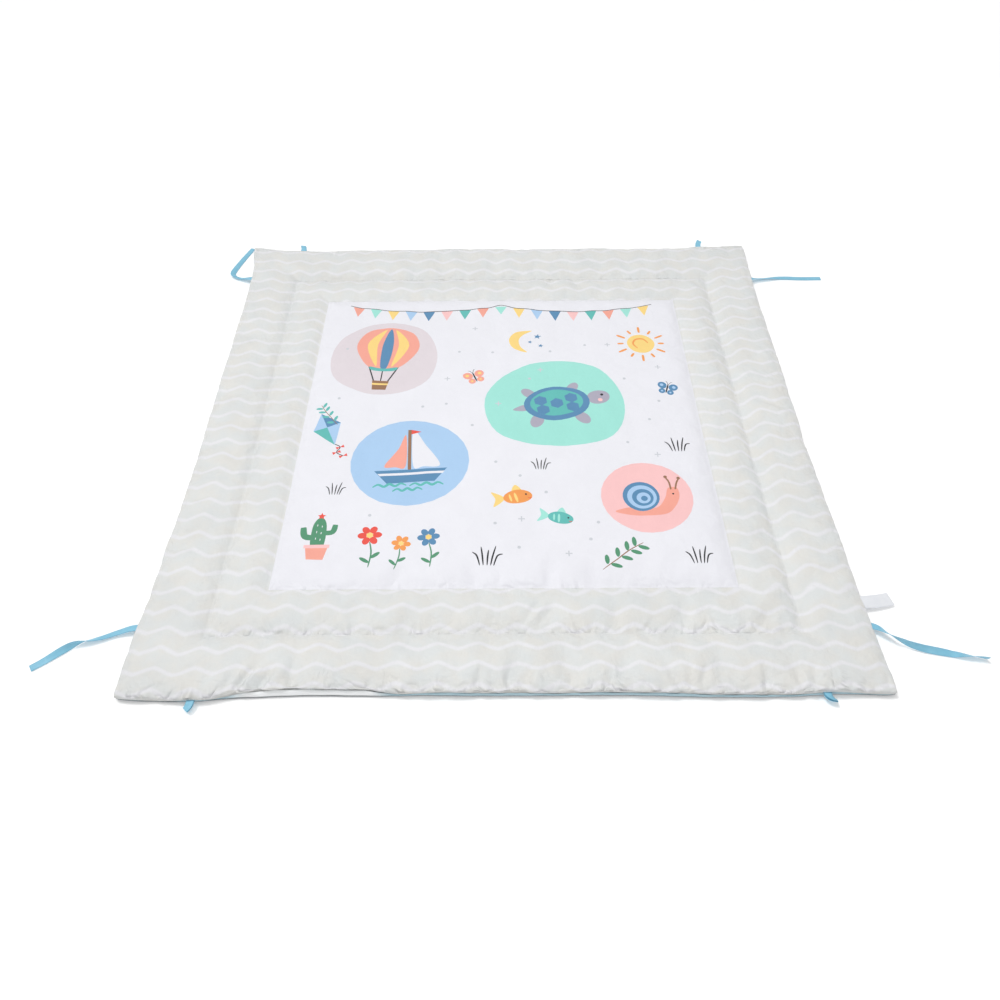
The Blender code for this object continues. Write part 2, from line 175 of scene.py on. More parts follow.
# Main creases in mm: x, y, direction in degrees, half length, half width, rise
CREASES = in_metres([
    (-375, -566, 78, 34, 16, -4), (-325, -560, 98, 40, 16, -4.5), (20, -564, 84, 36, 16, -4.2),
    (98, -560, 104, 40, 16, -4.5), (185, -566, 80, 32, 15, -3.8), (335, -562, 96, 36, 16, -4.2),
    (-180, -388, 70, 28, 14, -3.5), (-50, -386, 100, 26, 14, -3.2), (75, -388, 78, 28, 14, -3.4),
    (150, -388, 92, 26, 14, -3), (62, -466, 38, 30, 13, -3.8), (180, -464, 84, 24, 13, -3.2),
    (290, -466, 72, 26, 13, -3.4), (430, -466, 45, 36, 14, -4.2), (115, 448, 80, 26, 14, -3.6),
    (175, 446, 100, 26, 14, -3.4), (-452, 452, 135, 36, 15, -4), (-560, 560, 135, 36, 14, -2.6),
    (560, 560, 45, 36, 14, -2.6), (566, -566, 135, 34, 14, -2.4),
], degrees=2)


def distance_to_edge(u, v):
    """Distance to the nearest side of the cut square."""
    return HALF - np.maximum(np.abs(u), np.abs(v))


def distance_to_line(u, v, line):
    """Distance to the nearest side of a stitched square."""
    across = np.minimum(u + line["left"], line["right"] - u)
    return np.abs(np.minimum(across, np.minimum(v + line["front"], line["back"] - v)))


def creased(u, v, rows):
    """Rise of a list of creases, each a soft ridge or trough of its own size."""
    rise = np.zeros(np.shape(u))
    for x, y, degrees, half_length, half_width, height in rows:
        angle = math.radians(degrees)
        along = (u - x) * math.cos(angle) + (v - y) * math.sin(angle)
        across = (v - y) * math.cos(angle) - (u - x) * math.sin(angle)
        rise += height * np.exp(-(along / half_length) ** 2 - (across / half_width) ** 2)
    return rise


def corner_factor(u, v):
    """Share of the full height near a corner, where the padding thins out."""
    return 1 - CORNER_THIN * (np.abs(u * v) / HALF ** 2) ** CORNER_THIN_POWER


def padding_share(u, v):
    """Share of the crown that is left beside the stitching, at the rolled edge and in the corners."""
    share = corner_factor(u, v)
    for line in STITCHED.values():
        share = share * (1 - line["dip"] * np.exp(-distance_to_line(u, v, line) / CHANNEL_REACH))
    return share * (1 - EDGE_DIP * np.exp(-distance_to_edge(u, v) / EDGE_REACH))


def padding_height(u, v):
    """Height of the padded top over the floor, before its fine puckers."""
    swell = sum(height * np.exp(-((u - x) / reach_x) ** 2 - ((v - y) / reach_y) ** 2)
                for x, y, reach_x, reach_y, height in SWELLS)
    return (CROWN + swell + creased(u, v, CREASES)) * padding_share(u, v)


print("height in the middle, mm", round(1000 * float(padding_height(np.zeros(1), np.zeros(1))[0]), 2))

# %% [markdown]
# Stitching takes up a little of the cloth, and the loose cloth beside it has to go somewhere:
# it stands up in puckers that run away from the thread. Blender's cloth solver finds that shape
# by itself. The sheet starts on the padding's surface, it is let out by a few percent near the
# stitching and the edge, the stitched lines are pinned, and the padding under it is a weak pull
# back to where it started. The result isn't used as a mesh. It is kept as a field of small
# shifts that any mesh of the top can read.

# %% Grids and weights for the cloth
def lines_through(marks, step):
    """Places along one direction, about a step apart, that pass through every mark."""
    places = [marks[0]]
    for low, high in zip(marks, marks[1:]):
        count = max(2, round((high - low) / step))
        places += [low + (high - low) * index / count for index in range(1, count + 1)]
    return np.array(places)


def stitch_marks(low_side, high_side, reach):
    """The stitched lines and the two outer ends along one direction, in order."""
    marks = [-reach, reach]
    for line in STITCHED.values():
        marks += [-line[low_side], line[high_side]]
    return sorted(marks)


def weight_group(piece, name, weights):
    """A vertex group from an array of weights, rounded so that few calls fill it."""
    group = piece.vertex_groups.new(name=name)
    rounded = np.round(np.ravel(weights), 2)
    for value in np.unique(rounded):
        group.add(np.where(rounded == value)[0].tolist(), float(value), "REPLACE")
    return group.name


def grid_mesh(name, points):
    """A mesh of four-sided faces from an array of rows of points."""
    rows, columns = points.shape[:2]
    index = np.arange(rows * columns).reshape(rows, columns)
    corners = np.stack([index[:-1, :-1], index[:-1, 1:], index[1:, 1:], index[1:, :-1]], axis=-1)
    mesh = bpy.data.meshes.new(name)
    mesh.from_pydata(points.reshape(-1, 3).tolist(), [], corners.reshape(-1, 4).tolist())
    return mesh


print("lines across at", [float(mark) for mark in stitch_marks("left", "right", HALF)])

# %% Let the cloth pucker
CLOTH_STEP, CLOTH_FRAMES = 0.007, 20
CLOTH_LET_OUT, PADDING_PULL, CLOTH_BENDING = 0.05, 0.21, 22.0
CLOTH_UNEVEN, ON_LINE = 0.0003, 1e-4
# How far the loose cloth reaches from a seam, and its share of the full letting out
LOOSE_REACH = {"middle": (0.055, 1.0), "panel": (0.045, 0.65), "edge": (0.055, 1.0)}
LOOSE_EVERYWHERE = 0.1


def looseness(u, v):
    """How much the cloth is let out: 1 beside the stitching and the edge, near 0 far from both."""
    near = np.full(np.shape(u), LOOSE_EVERYWHERE)
    for name, line in STITCHED.items():
        reach, share = LOOSE_REACH[name]
        near = np.maximum(near, share * np.exp(-distance_to_line(u, v, line) / reach))
    reach, share = LOOSE_REACH["edge"]
    return np.maximum(near, share * np.exp(-distance_to_edge(u, v) / reach))


def pucker_field():
    """Run the cloth and return its lines of points and the shift of each point."""
    across = lines_through(stitch_marks("left", "right", HALF), CLOTH_STEP)
    along = lines_through(stitch_marks("front", "back", HALF), CLOTH_STEP)
    u, v = np.meshgrid(across, along)
    height = padding_height(u, v)
    uneven = np.random.default_rng(5).normal(0.0, CLOTH_UNEVEN, u.shape)
    start = np.stack([u, v, height + uneven], axis=-1)
    cloth = in_scene("loose_top", grid_mesh("loose_top", start))
    stitched = np.minimum.reduce([distance_to_line(u, v, line) for line in STITCHED.values()])
    held = (stitched < ON_LINE) | (distance_to_edge(u, v) < ON_LINE)
    solver = cloth.modifiers.new("Cloth", "CLOTH")
    settings = solver.settings
    settings.vertex_group_mass = weight_group(cloth, "held", np.where(held, 1.0, PADDING_PULL))
    settings.vertex_group_shrink = weight_group(cloth, "taut", 1 - looseness(u, v))
    settings.shrink_min, settings.shrink_max = -CLOTH_LET_OUT, 0.0
    settings.bending_model = "ANGULAR"
    settings.bending_stiffness = CLOTH_BENDING
    settings.quality = 5
    settings.effector_weights.gravity = 0
    solver.collision_settings.use_collision = False
    solver.point_cache.frame_end = CLOTH_FRAMES
    for number in range(1, CLOTH_FRAMES + 1):
        bpy.context.scene.frame_set(number)
    settled = cloth.evaluated_get(bpy.context.evaluated_depsgraph_get()).data
    places = np.empty(len(settled.vertices) * 3, np.float32)
    settled.vertices.foreach_get("co", places)
    bpy.data.objects.remove(cloth)
    bpy.context.scene.frame_set(1)
    return across, along, places.reshape(start.shape) - np.stack([u, v, height], axis=-1)


PUCKER_ACROSS, PUCKER_ALONG, PUCKER_SHIFT = pucker_field()
print("puckers from", round(1000 * float(PUCKER_SHIFT[..., 2].min()), 1), "to",
      round(1000 * float(PUCKER_SHIFT[..., 2].max()), 1), "mm")

# %% [markdown]
# The field's points are 7 mm apart and the mesh's are closer, so the field is read through a
# cubic curve in both directions. A straight-line reading would show each cell as a facet.

# %% Read the puckers anywhere
PUCKER_SHARE, PUCKER_LIMIT = 0.42, 0.0042


def cubic_weights(t):
    """Weights of the four points round a place, t of the way from the second to the third."""
    return np.stack([(1 - t) ** 3 / 6, (3 * t ** 3 - 6 * t ** 2 + 4) / 6,
                     (-3 * t ** 3 + 3 * t ** 2 + 3 * t + 1) / 6, t ** 3 / 6], axis=-1)


def puckers_at(u, v):
    """Shift of the cloth at each place, softened between the field's points and kept small."""
    column = np.interp(np.ravel(u), PUCKER_ACROSS, np.arange(len(PUCKER_ACROSS)))
    row = np.interp(np.ravel(v), PUCKER_ALONG, np.arange(len(PUCKER_ALONG)))
    first_column, first_row = np.floor(column).astype(int), np.floor(row).astype(int)
    column_weights = cubic_weights(column - first_column)
    row_weights = cubic_weights(row - first_row)
    shift = np.zeros((column.size, 3))
    for i in range(4):
        rows = np.clip(first_row + i - 1, 0, len(PUCKER_ALONG) - 1)
        for j in range(4):
            columns = np.clip(first_column + j - 1, 0, len(PUCKER_ACROSS) - 1)
            weight = row_weights[:, i] * column_weights[:, j]
            shift += weight[:, None] * PUCKER_SHIFT[rows, columns]
    shift *= PUCKER_SHARE
    size = np.linalg.norm(shift, axis=1, keepdims=True)
    shift *= np.tanh(size / PUCKER_LIMIT) * PUCKER_LIMIT / np.maximum(size, 1e-9)
    return shift.reshape(np.shape(u) + (3,))


print("puckers are read from", PUCKER_SHIFT[..., 0].size, "points")


# %% [markdown]
# The solver's puckers are a few centimetres long. The photo also shows short sharp ones right
# beside the thread, bunched at some places and absent at others. They are laid in listed bunches
# along the front lines, and spread with a fixed seed along the other sides.

# %% Short puckers beside the stitching
# Bunches: stitched square, side, from, to, how many, rise
BUNCHES = [
    ("middle", "front", -0.465, -0.345, 9, 0.0015), ("middle", "front", -0.3, -0.17, 6, 0.0009),
    ("middle", "front", -0.06, 0.06, 8, 0.0014), ("middle", "front", 0.11, 0.25, 9, 0.0014),
    ("middle", "front", 0.28, 0.33, 4, 0.0012), ("middle", "front", 0.37, 0.47, 7, 0.0014),
    ("panel", "front", -0.08, 0.07, 9, 0.0012), ("panel", "front", -0.38, -0.12, 9, 0.0007),
    ("panel", "front", 0.12, 0.38, 9, 0.0007), ("middle", "back", -0.44, 0.44, 34, 0.0006),
    ("middle", "left", -0.46, 0.44, 40, 0.0005), ("middle", "right", -0.46, 0.44, 40, 0.0005),
    ("panel", "back", -0.37, 0.37, 26, 0.0005), ("panel", "left", -0.38, 0.35, 26, 0.0004),
    ("panel", "right", -0.38, 0.35, 26, 0.0004),
]
PUCKER_HALF_LENGTH = (0.008, 0.018)
PUCKER_HALF_WIDTH = (0.0042, 0.007)
# In degrees
PUCKER_SWING = 24
# Shares: of the bunch's rise, of the puckers inside the line, and of those that are ridges
PUCKER_RISES, INWARD_SHARE, RIDGE_SHARE = (0.6, 1.25), 0.7, 0.65


def short_puckers():
    """One row for each short pucker, in the form that creases have."""
    chance = np.random.default_rng(23)
    rows = []
    for name, side, low, high, count, rise in BUNCHES:
        for index in range(count):
            place = low + (high - low) * (index + chance.uniform(0.1, 0.9)) / count
            inward = 1 if chance.uniform() < INWARD_SHARE else -1
            half_length = chance.uniform(*PUCKER_HALF_LENGTH)
            half_width = chance.uniform(*PUCKER_HALF_WIDTH)
            away = half_length * 0.9
            line = STITCHED[name][side]
            sign = -1 if side in ("left", "front") else 1
            offset = sign * line - sign * inward * away
            upright = side in ("left", "right")
            x, y = (offset, place) if upright else (place, offset)
            degrees = (0 if upright else 90) + chance.uniform(-PUCKER_SWING, PUCKER_SWING)
            height = rise * chance.uniform(*PUCKER_RISES)
            height *= 1 if chance.uniform() < RIDGE_SHARE else -1
            rows.append((x, y, degrees, half_length, half_width, height))
    return rows


SHORT_PUCKERS = short_puckers()


def near_rise(u, v, rows):
    """As creased, but each row only visits the points within its reach."""
    rise = np.zeros(u.size)
    order = np.argsort(u)
    sorted_u = u[order]
    for row in rows:
        reach = 3 * row[3]
        low, high = np.searchsorted(sorted_u, (row[0] - reach, row[0] + reach))
        chosen = order[low:high]
        chosen = chosen[np.abs(v[chosen] - row[1]) < reach]
        rise[chosen] += creased(u[chosen], v[chosen], [row])
    return rise


print("short puckers", len(SHORT_PUCKERS))

# %% [markdown]
# The panel's print is a design of our own: simple animals, a balloon, a boat and the like, in
# flat colours. A print could be drawn in the shader, but an outline with a crisp edge is easier
# to make as faces. Each motif is a short list of outlines in its own units, later ones over
# earlier ones. Helpers turn circles, smooth blobs and brush strokes into outlines.

# %% Outlines for the print
INK = {
    "mint": (160, 226, 214), "sky": (170, 203, 236), "slate": (88, 138, 178), "salmon": (242, 165, 148),
    "red": (232, 84, 72), "orange": (240, 156, 84), "straw": (247, 213, 130), "green": (82, 146, 112),
    "mauve": (172, 168, 184), "pale": (222, 213, 218), "black": (42, 42, 48), "grey": (203, 206, 212),
    "white": (233, 233, 239), "rose": (246, 196, 196), "brown": (150, 112, 84), "teal": (96, 186, 180),
}
OUTLINE_STEP = 0.0028


def oval(x, y, wide, high=None, degrees=0.0):
    """An ellipse of full size wide by high, turned by degrees."""
    high = wide if high is None else high
    turn = math.radians(degrees)
    count = 28
    points = []
    for index in range(count):
        angle = 2 * math.pi * index / count
        across, up = wide / 2 * math.cos(angle), high / 2 * math.sin(angle)
        points.append((x + across * math.cos(turn) - up * math.sin(turn),
                       y + across * math.sin(turn) + up * math.cos(turn)))
    return points


def smooth_line(points, closed=False, steps=6):
    """A smooth curve through a few points."""
    count = len(points)
    made = []
    for index in range(count if closed else count - 1):
        near = range(index - 1, index + 3)
        a, b, c, d = (points[k % count if closed else min(max(k, 0), count - 1)] for k in near)
        for step in range(steps):
            t = step / steps
            made.append(tuple(0.5 * (2 * b[k] + (c[k] - a[k]) * t
                                     + (2 * a[k] - 5 * b[k] + 4 * c[k] - d[k]) * t * t
                                     + (3 * b[k] - a[k] - 3 * c[k] + d[k]) * t ** 3) for k in (0, 1)))
    return made if closed else made + [points[-1]]


def blob(*points):
    """A closed smooth outline through a few points."""
    return smooth_line(points, closed=True)


def brush(points, width, ends=0.35):
    """A brush stroke along a smooth line, thinner at its ends."""
    line = smooth_line(points)
    sides = ([], [])
    for index, (x, y) in enumerate(line):
        ax, ay = line[max(index - 1, 0)]
        bx, by = line[min(index + 1, len(line) - 1)]
        length = math.hypot(bx - ax, by - ay)
        share = ends + (1 - ends) * math.sin(math.pi * index / (len(line) - 1)) ** 0.6
        dx, dy = (ay - by) / length * width / 2 * share, (bx - ax) / length * width / 2 * share
        sides[0].append((x + dx, y + dy))
        sides[1].append((x - dx, y - dy))
    return sides[0] + sides[1][::-1]


def around(angle, radius, x=0.0, y=0.0):
    """A point on a circle round x, y."""
    return (x + radius * math.cos(angle), y + radius * math.sin(angle))


def star(x, y, size, points=5, inner=0.42, degrees=90.0):
    """A star, or with inner near 1 a soft cog."""
    made = []
    for index in range(2 * points):
        radius = size / 2 * (1 if index % 2 == 0 else inner)
        angle = math.radians(degrees) + math.pi * index / points
        made.append(around(angle, radius, x, y))
    return made


print("inks", len(INK))

# %% [markdown]
# The motifs. Each function returns pairs of an ink and an outline, drawn about its own middle
# with a size of about one, so that the layout below only says where, how big and how turned.

# %% Animals of the print
def turtle():
    made = [("mauve", oval(0.4, 0.02, 0.22, 0.18, 10)), ("mauve", oval(-0.22, -0.2, 0.18, 0.12, 60)),
            ("mauve", oval(0.2, -0.22, 0.18, 0.12, -60)), ("mauve", oval(-0.24, 0.17, 0.16, 0.1, -50)),
            ("mauve", oval(0.18, 0.18, 0.16, 0.1, 50)),
            ("mauve", blob((-0.3, 0.02), (-0.42, -0.03), (-0.3, -0.06))),
            ("slate", oval(0, 0, 0.62, 0.44)), ("teal", oval(0, 0.01, 0.5, 0.34))]
    for x, y in ((0, 0.0), (-0.145, 0.055), (0.145, 0.055), (-0.14, -0.065), (0.14, -0.065)):
        made.append(("slate", star(x, y, 0.13, 6, 0.87)))
    made += [("black", oval(0.44, 0.05, 0.03)), ("rose", oval(0.41, -0.02, 0.045))]
    return made


def snail():
    made = [("salmon", blob((-0.45, -0.27), (-0.2, -0.2), (0.1, -0.22), (0.24, -0.05), (0.3, 0.12),
                            (0.42, 0.13), (0.44, -0.02), (0.36, -0.2), (0.2, -0.33), (-0.2, -0.34)))]
    made += [("brown", brush([(0.34, 0.1), (0.33, 0.22), (0.29, 0.31)], 0.025, 0.8)),
             ("brown", brush([(0.4, 0.1), (0.43, 0.21), (0.47, 0.29)], 0.025, 0.8)),
             ("brown", oval(0.29, 0.32, 0.05)), ("brown", oval(0.47, 0.3, 0.05))]
    for wide, ink in ((0.5, "slate"), (0.4, "sky"), (0.29, "slate"), (0.19, "sky"), (0.09, "slate")):
        made.append((ink, oval(-0.08 + (0.5 - wide) * 0.1, -0.02 - (0.5 - wide) * 0.08, wide)))
    made.append(("black", oval(0.36, 0.02, 0.028)))
    return made


def fish(body="orange", fin="straw"):
    return [(fin, blob((-0.22, 0.0), (-0.48, 0.2), (-0.42, 0.0), (-0.48, -0.2))),
            (fin, blob((-0.05, 0.15), (0.05, 0.32), (0.17, 0.13))), (body, oval(0.06, 0, 0.62, 0.36)),
            (fin, oval(0.02, -0.02, 0.06, 0.26, 8)), (fin, oval(-0.1, -0.01, 0.05, 0.2, 8)),
            ("black", oval(0.24, 0.04, 0.045)),
            ("red", brush([(0.27, -0.05), (0.31, -0.07), (0.34, -0.04)], 0.02))]


def butterfly(wing="salmon", spot="straw"):
    made = []
    for side in (-1, 1):
        made += [(wing, oval(side * 0.2, 0.13, 0.34, 0.3, side * 35)),
                 (wing, oval(side * 0.15, -0.14, 0.24, 0.24, -side * 25)),
                 (spot, oval(side * 0.22, 0.14, 0.13, 0.12)), (spot, oval(side * 0.15, -0.14, 0.08)),
                 ("black", brush([(side * 0.02, 0.22), (side * 0.06, 0.32), (side * 0.12, 0.36)], 0.018))]
    return made + [("black", oval(0, 0.02, 0.055, 0.46))]


print("turtle has", len(turtle()), "outlines")

# %% Things of the print
def balloon():
    made = [("black", brush([(-0.16, -0.12), (-0.07, -0.36)], 0.014, 0.9)),
            ("black", brush([(0.16, -0.12), (0.07, -0.36)], 0.014, 0.9)),
            ("black", brush([(0.0, -0.16), (0.0, -0.36)], 0.012, 0.9)),
            ("salmon", blob((0, 0.48), (0.23, 0.41), (0.33, 0.2), (0.27, 0.0), (0.13, -0.16),
                            (-0.13, -0.16), (-0.27, 0.0), (-0.33, 0.2), (-0.23, 0.41)))]
    for side in (-1, 1):
        made.append(("straw", blob((side * 0.05, 0.45), (side * 0.22, 0.2), (side * 0.08, -0.14),
                                   (side * 0.11, 0.2))))
    made += [("slate", blob((0, 0.46), (0.055, 0.2), (0.035, -0.15), (-0.035, -0.15), (-0.055, 0.2))),
             ("teal", blob((-0.14, -0.145), (0, -0.175), (0.14, -0.145), (0.12, -0.195), (0, -0.215),
                           (-0.12, -0.195))),
             ("brown", [(-0.085, -0.35), (0.085, -0.35), (0.07, -0.48), (-0.07, -0.48)]),
             ("straw", [(-0.083, -0.385), (0.083, -0.385), (0.079, -0.41), (-0.079, -0.41)])]
    return made


def boat():
    made = [("brown", [(-0.02, -0.14), (0.015, -0.14), (0.015, 0.42), (-0.02, 0.42)]),
            ("white", blob((0.035, 0.4), (0.16, 0.2), (0.31, -0.09), (0.14, -0.11), (0.035, -0.09))),
            ("salmon", blob((-0.04, 0.34), (-0.12, 0.15), (-0.26, -0.08), (-0.15, -0.1), (-0.04, -0.09))),
            ("red", [(0.015, 0.42), (0.015, 0.35), (0.12, 0.385)]),
            ("slate", [(-0.36, -0.14), (0.38, -0.14), (0.25, -0.31), (-0.23, -0.31)]),
            ("white", [(-0.325, -0.18), (0.355, -0.18), (0.335, -0.21), (-0.3, -0.21)])]
    for x, y, wide in ((-0.2, -0.335, 0.34), (0.17, -0.345, 0.34), (-0.02, -0.405, 0.3)):
        wave = [(x - wide / 2 + wide * step / 6, y + (0.018 if step % 2 else -0.012)) for step in range(7)]
        made.append(("teal", brush(wave, 0.03)))
    return made


def sun():
    made = [("straw", oval(0, 0, 0.5))]
    for index in range(12):
        angle = 2 * math.pi * index / 12
        reach = 0.48 if index % 2 else 0.42
        made.append(("orange", brush([around(angle, 0.31), around(angle, reach)], 0.045, 0.6)))
    curl = [around(angle, 0.14) for angle in (0.2, 1.2, 2.2, 3.2, 4.2)]
    return made + [("orange", brush(curl, 0.035))]


def moon():
    made = [("straw", blob((0.1, 0.42), (-0.24, 0.3), (-0.38, -0.02), (-0.22, -0.34), (0.14, -0.42),
                           (-0.06, -0.24), (-0.14, 0.0), (-0.06, 0.24)))]
    for x, y, size in ((0.28, 0.22, 0.2), (0.42, -0.12, 0.14), (0.14, -0.02, 0.12)):
        made.append(("slate", star(x, y, size)))
    return made


def kite():
    tail = [(0.0, -0.2), (0.06, -0.3), (-0.02, -0.38), (0.05, -0.48)]
    made = [("black", brush(tail, 0.014, 0.9)),
            ("sky", [(0, 0.48), (0.22, 0.18), (0, -0.22), (-0.22, 0.18)]),
            ("slate", [(0, 0.48), (0.22, 0.18), (0, 0.18)]),
            ("teal", [(0, 0.18), (-0.22, 0.18), (0, -0.22)])]
    for x, y in tail[1:]:
        made += [("red", [(x, y), (x - 0.06, y + 0.03), (x - 0.06, y - 0.03)]),
                 ("red", [(x, y), (x + 0.06, y + 0.03), (x + 0.06, y - 0.03)])]
    return made


print("balloon has", len(balloon()), "outlines")

# %% Plants of the print
def cactus():
    made = [("green", blob((-0.09, -0.2), (-0.1, 0.2), (0.0, 0.36), (0.1, 0.2), (0.09, -0.2))),
            ("green", brush([(-0.06, -0.02), (-0.2, 0.0), (-0.24, 0.16)], 0.1, 0.8)),
            ("green", brush([(0.06, 0.06), (0.2, 0.08), (0.23, 0.22)], 0.09, 0.8)),
            ("salmon", [(-0.17, -0.18), (0.17, -0.18), (0.12, -0.42), (-0.12, -0.42)]),
            ("rose", [(-0.19, -0.15), (0.19, -0.15), (0.19, -0.21), (-0.19, -0.21)]),
            ("red", star(0.0, 0.38, 0.13, 5, 0.5))]
    for y in (0.2, 0.08, -0.04):
        for x in (-0.035, 0.035):
            made.append(("white", oval(x, y - 0.02 * (x > 0), 0.012, 0.04)))
    return made


def flower(petal="red"):
    made = [("green", brush([(0.0, 0.1), (0.03, -0.15), (-0.02, -0.46)], 0.03)),
            ("green", oval(0.1, -0.2, 0.2, 0.075, 35)), ("green", oval(-0.09, -0.3, 0.2, 0.075, 145))]
    for index in range(6):
        angle = 2 * math.pi * index / 6
        made.append((petal, oval(*around(angle, 0.135, 0.0, 0.24), 0.17, 0.13, math.degrees(angle))))
    return made + [("straw", oval(0, 0.24, 0.12))]


def sprig(leaf="green"):
    stem = [(-0.34, -0.36), (-0.1, -0.1), (0.12, 0.14), (0.36, 0.34)]
    made = [("brown", brush(stem, 0.022))]
    for x, y in ((-0.2, -0.2), (-0.02, -0.01), (0.14, 0.15), (0.27, 0.27)):
        made += [(leaf, oval(x - 0.08, y + 0.07, 0.21, 0.085, 100)),
                 (leaf, oval(x + 0.1, y - 0.04, 0.21, 0.085, -10))]
    return made


def grass():
    return [("black", brush([(x, -0.3), (x + lean * 0.4, 0.0), (x + lean, top)], 0.045, 0.25))
            for x, lean, top in ((-0.16, -0.2, 0.12), (-0.07, -0.06, 0.3), (0.03, 0.04, 0.2),
                                 (0.12, 0.14, 0.32), (0.2, 0.24, 0.06))]


print("cactus has", len(cactus()), "outlines")

# %% [markdown]
# The layout puts the motifs on the panel, each with its place, size and turn. Pale rounds lie
# under the larger ones. A row of flags hangs along the top, and small grey dots and crosses
# fill the open places, pushed off the motifs by a distance test.

# %% Layout of the print
PANEL_ROUNDS = [
    ("mint", blob((0.245, 0.04), (0.19, 0.14), (0.06, 0.148), (-0.03, 0.06), (-0.01, -0.05),
                  (0.1, -0.088), (0.215, -0.06))),
    ("pale", blob((-0.135, 0.17), (-0.17, 0.262), (-0.265, 0.285), (-0.35, 0.225), (-0.352, 0.115),
                  (-0.26, 0.058), (-0.165, 0.085))),
    ("sky", oval(-0.175, -0.125, 0.225, 0.215)),
    ("rose", oval(0.262, -0.215, 0.168, 0.164)),
]
# Motif, then x, y and size in mm, turn in degrees, and the inks where they aren't the usual ones
PANEL_MOTIFS = [
    (turtle, 110, 30, 215, 8), (balloon, -245, 170, 205, -4), (boat, -175, -120, 185, 3),
    (snail, 262, -212, 135, 0), (sun, 300, 212, 120, 0), (moon, 50, 225, 88, -12),
    (kite, -335, -55, 130, 24), (cactus, -325, -300, 120, 0), (fish, 22, -215, 86, 8),
    (fish, 98, -262, 74, -12, "teal", "mint"), (butterfly, -55, 108, 62, 22),
    (butterfly, 338, 70, 58, -18, "slate", "sky"), (flower, -232, -322, 98, 4),
    (flower, -180, -335, 78, -8, "orange"), (flower, -128, -325, 90, 6, "slate"),
    (sprig, 205, -345, 95, -8), (sprig, -345, 0, 70, 80, "teal"), (grass, 335, -85, 62, 0),
    (grass, 335, -345, 60, 0), (grass, -30, -345, 66, 0), (grass, 70, -135, 48, 0),
    (grass, -310, -190, 48, 0),
]
FLAG_INKS = ("salmon", "mint", "straw", "sky", "slate", "rose", "teal")
FLAGS_FROM, FLAGS_TO, FLAGS_HEIGHT, FLAGS_SAG = -0.34, 0.34, 0.352, 0.024
FLAG_COUNT, FLAG_WIDE, FLAG_LONG = 17, 0.026, 0.034
STRING_STEPS, STRING_WIDE, FLAG_DROP = 28, 0.002, 0.0012
SPECK_ROWS, SPECK_COLUMNS, SPECK_CLEAR = 9, 10, 0.02
SPECKS_FROM, SPECKS_OVER = (-0.345, -0.365), (0.69, 0.68)
DOT_WIDE, CROSS_LONG, CROSS_THIN = 0.0062, 0.006, 0.0012
print("motifs", len(PANEL_MOTIFS))

# %% Draw the print
def bar(x, y, half_wide, half_high):
    """A rectangle about its middle."""
    return [(x - half_wide, y - half_high), (x + half_wide, y - half_high),
            (x + half_wide, y + half_high), (x - half_wide, y + half_high)]


def point_tree(points):
    """A tree that finds the nearest one of some points of the panel."""
    tree = kdtree.KDTree(len(points))
    for index, (x, y) in enumerate(points):
        tree.insert((x, y, 0.0), index)
    tree.balance()
    return tree


def placed(outline, x, y, size, degrees):
    """An outline moved from its own middle to its place on the panel."""
    turn = math.radians(degrees)
    return [(x + size * (px * math.cos(turn) - py * math.sin(turn)),
             y + size * (px * math.sin(turn) + py * math.cos(turn))) for px, py in outline]


def string_height(x):
    """Height of the flags' string: two bays that hang between three nails."""
    share = (x - FLAGS_FROM) / (FLAGS_TO - FLAGS_FROM)
    return FLAGS_HEIGHT - FLAGS_SAG * abs(math.sin(2 * math.pi * share)) ** 0.8


def flags():
    """The string and its flags."""
    length = FLAGS_TO - FLAGS_FROM
    places = [FLAGS_FROM + length * index / STRING_STEPS for index in range(STRING_STEPS + 1)]
    made = [("black", brush([(x, string_height(x)) for x in places], STRING_WIDE, 0.9))]
    for index in range(FLAG_COUNT):
        x = FLAGS_FROM + length * (index + 0.5) / FLAG_COUNT
        low, high = x - FLAG_WIDE / 2, x + FLAG_WIDE / 2
        made.append((FLAG_INKS[index % len(FLAG_INKS)],
                     [(low, string_height(low) - FLAG_DROP), (high, string_height(high) - FLAG_DROP),
                      (x, string_height(x) - FLAG_LONG)]))
    return made


def specks(taken):
    """Small grey dots and crosses in the open places."""
    tree = point_tree(taken)
    chance = np.random.default_rng(11)
    made = []
    for row in range(SPECK_ROWS):
        for column in range(SPECK_COLUMNS):
            x = SPECKS_FROM[0] + SPECKS_OVER[0] * (column + chance.uniform(0.1, 0.9)) / SPECK_COLUMNS
            y = SPECKS_FROM[1] + SPECKS_OVER[1] * (row + chance.uniform(0.1, 0.9)) / SPECK_ROWS
            if tree.find((x, y, 0.0))[2] < SPECK_CLEAR:
                continue
            if (row + column) % 3:
                made.append(("grey", oval(x, y, DOT_WIDE)))
            else:
                made += [("grey", bar(x, y, CROSS_LONG, CROSS_THIN)),
                         ("grey", bar(x, y, CROSS_THIN, CROSS_LONG))]
    return made


def panel_print():
    """Every outline of the print, in the order in which they cover each other."""
    drawn = list(PANEL_ROUNDS) + flags()
    for motif, x, y, size, degrees, *inks in PANEL_MOTIFS:
        drawn += [(ink, placed(outline, x / 1000, y / 1000, size / 1000, degrees))
                  for ink, outline in motif(*inks)]
    middles = [(sum(p[0] for p in outline) / len(outline), sum(p[1] for p in outline) / len(outline))
               for _, outline in drawn]
    inner = [((px + cx) / 2, (py + cy) / 2)
             for (_, outline), (cx, cy) in zip(PANEL_ROUNDS, middles) for px, py in outline]
    taken = [point for _, outline in drawn for point in outline] + middles + inner
    return drawn + specks(taken)


PRINT = panel_print()
print("outlines in the print", len(PRINT), "with", sum(len(outline) for _, outline in PRINT), "points")

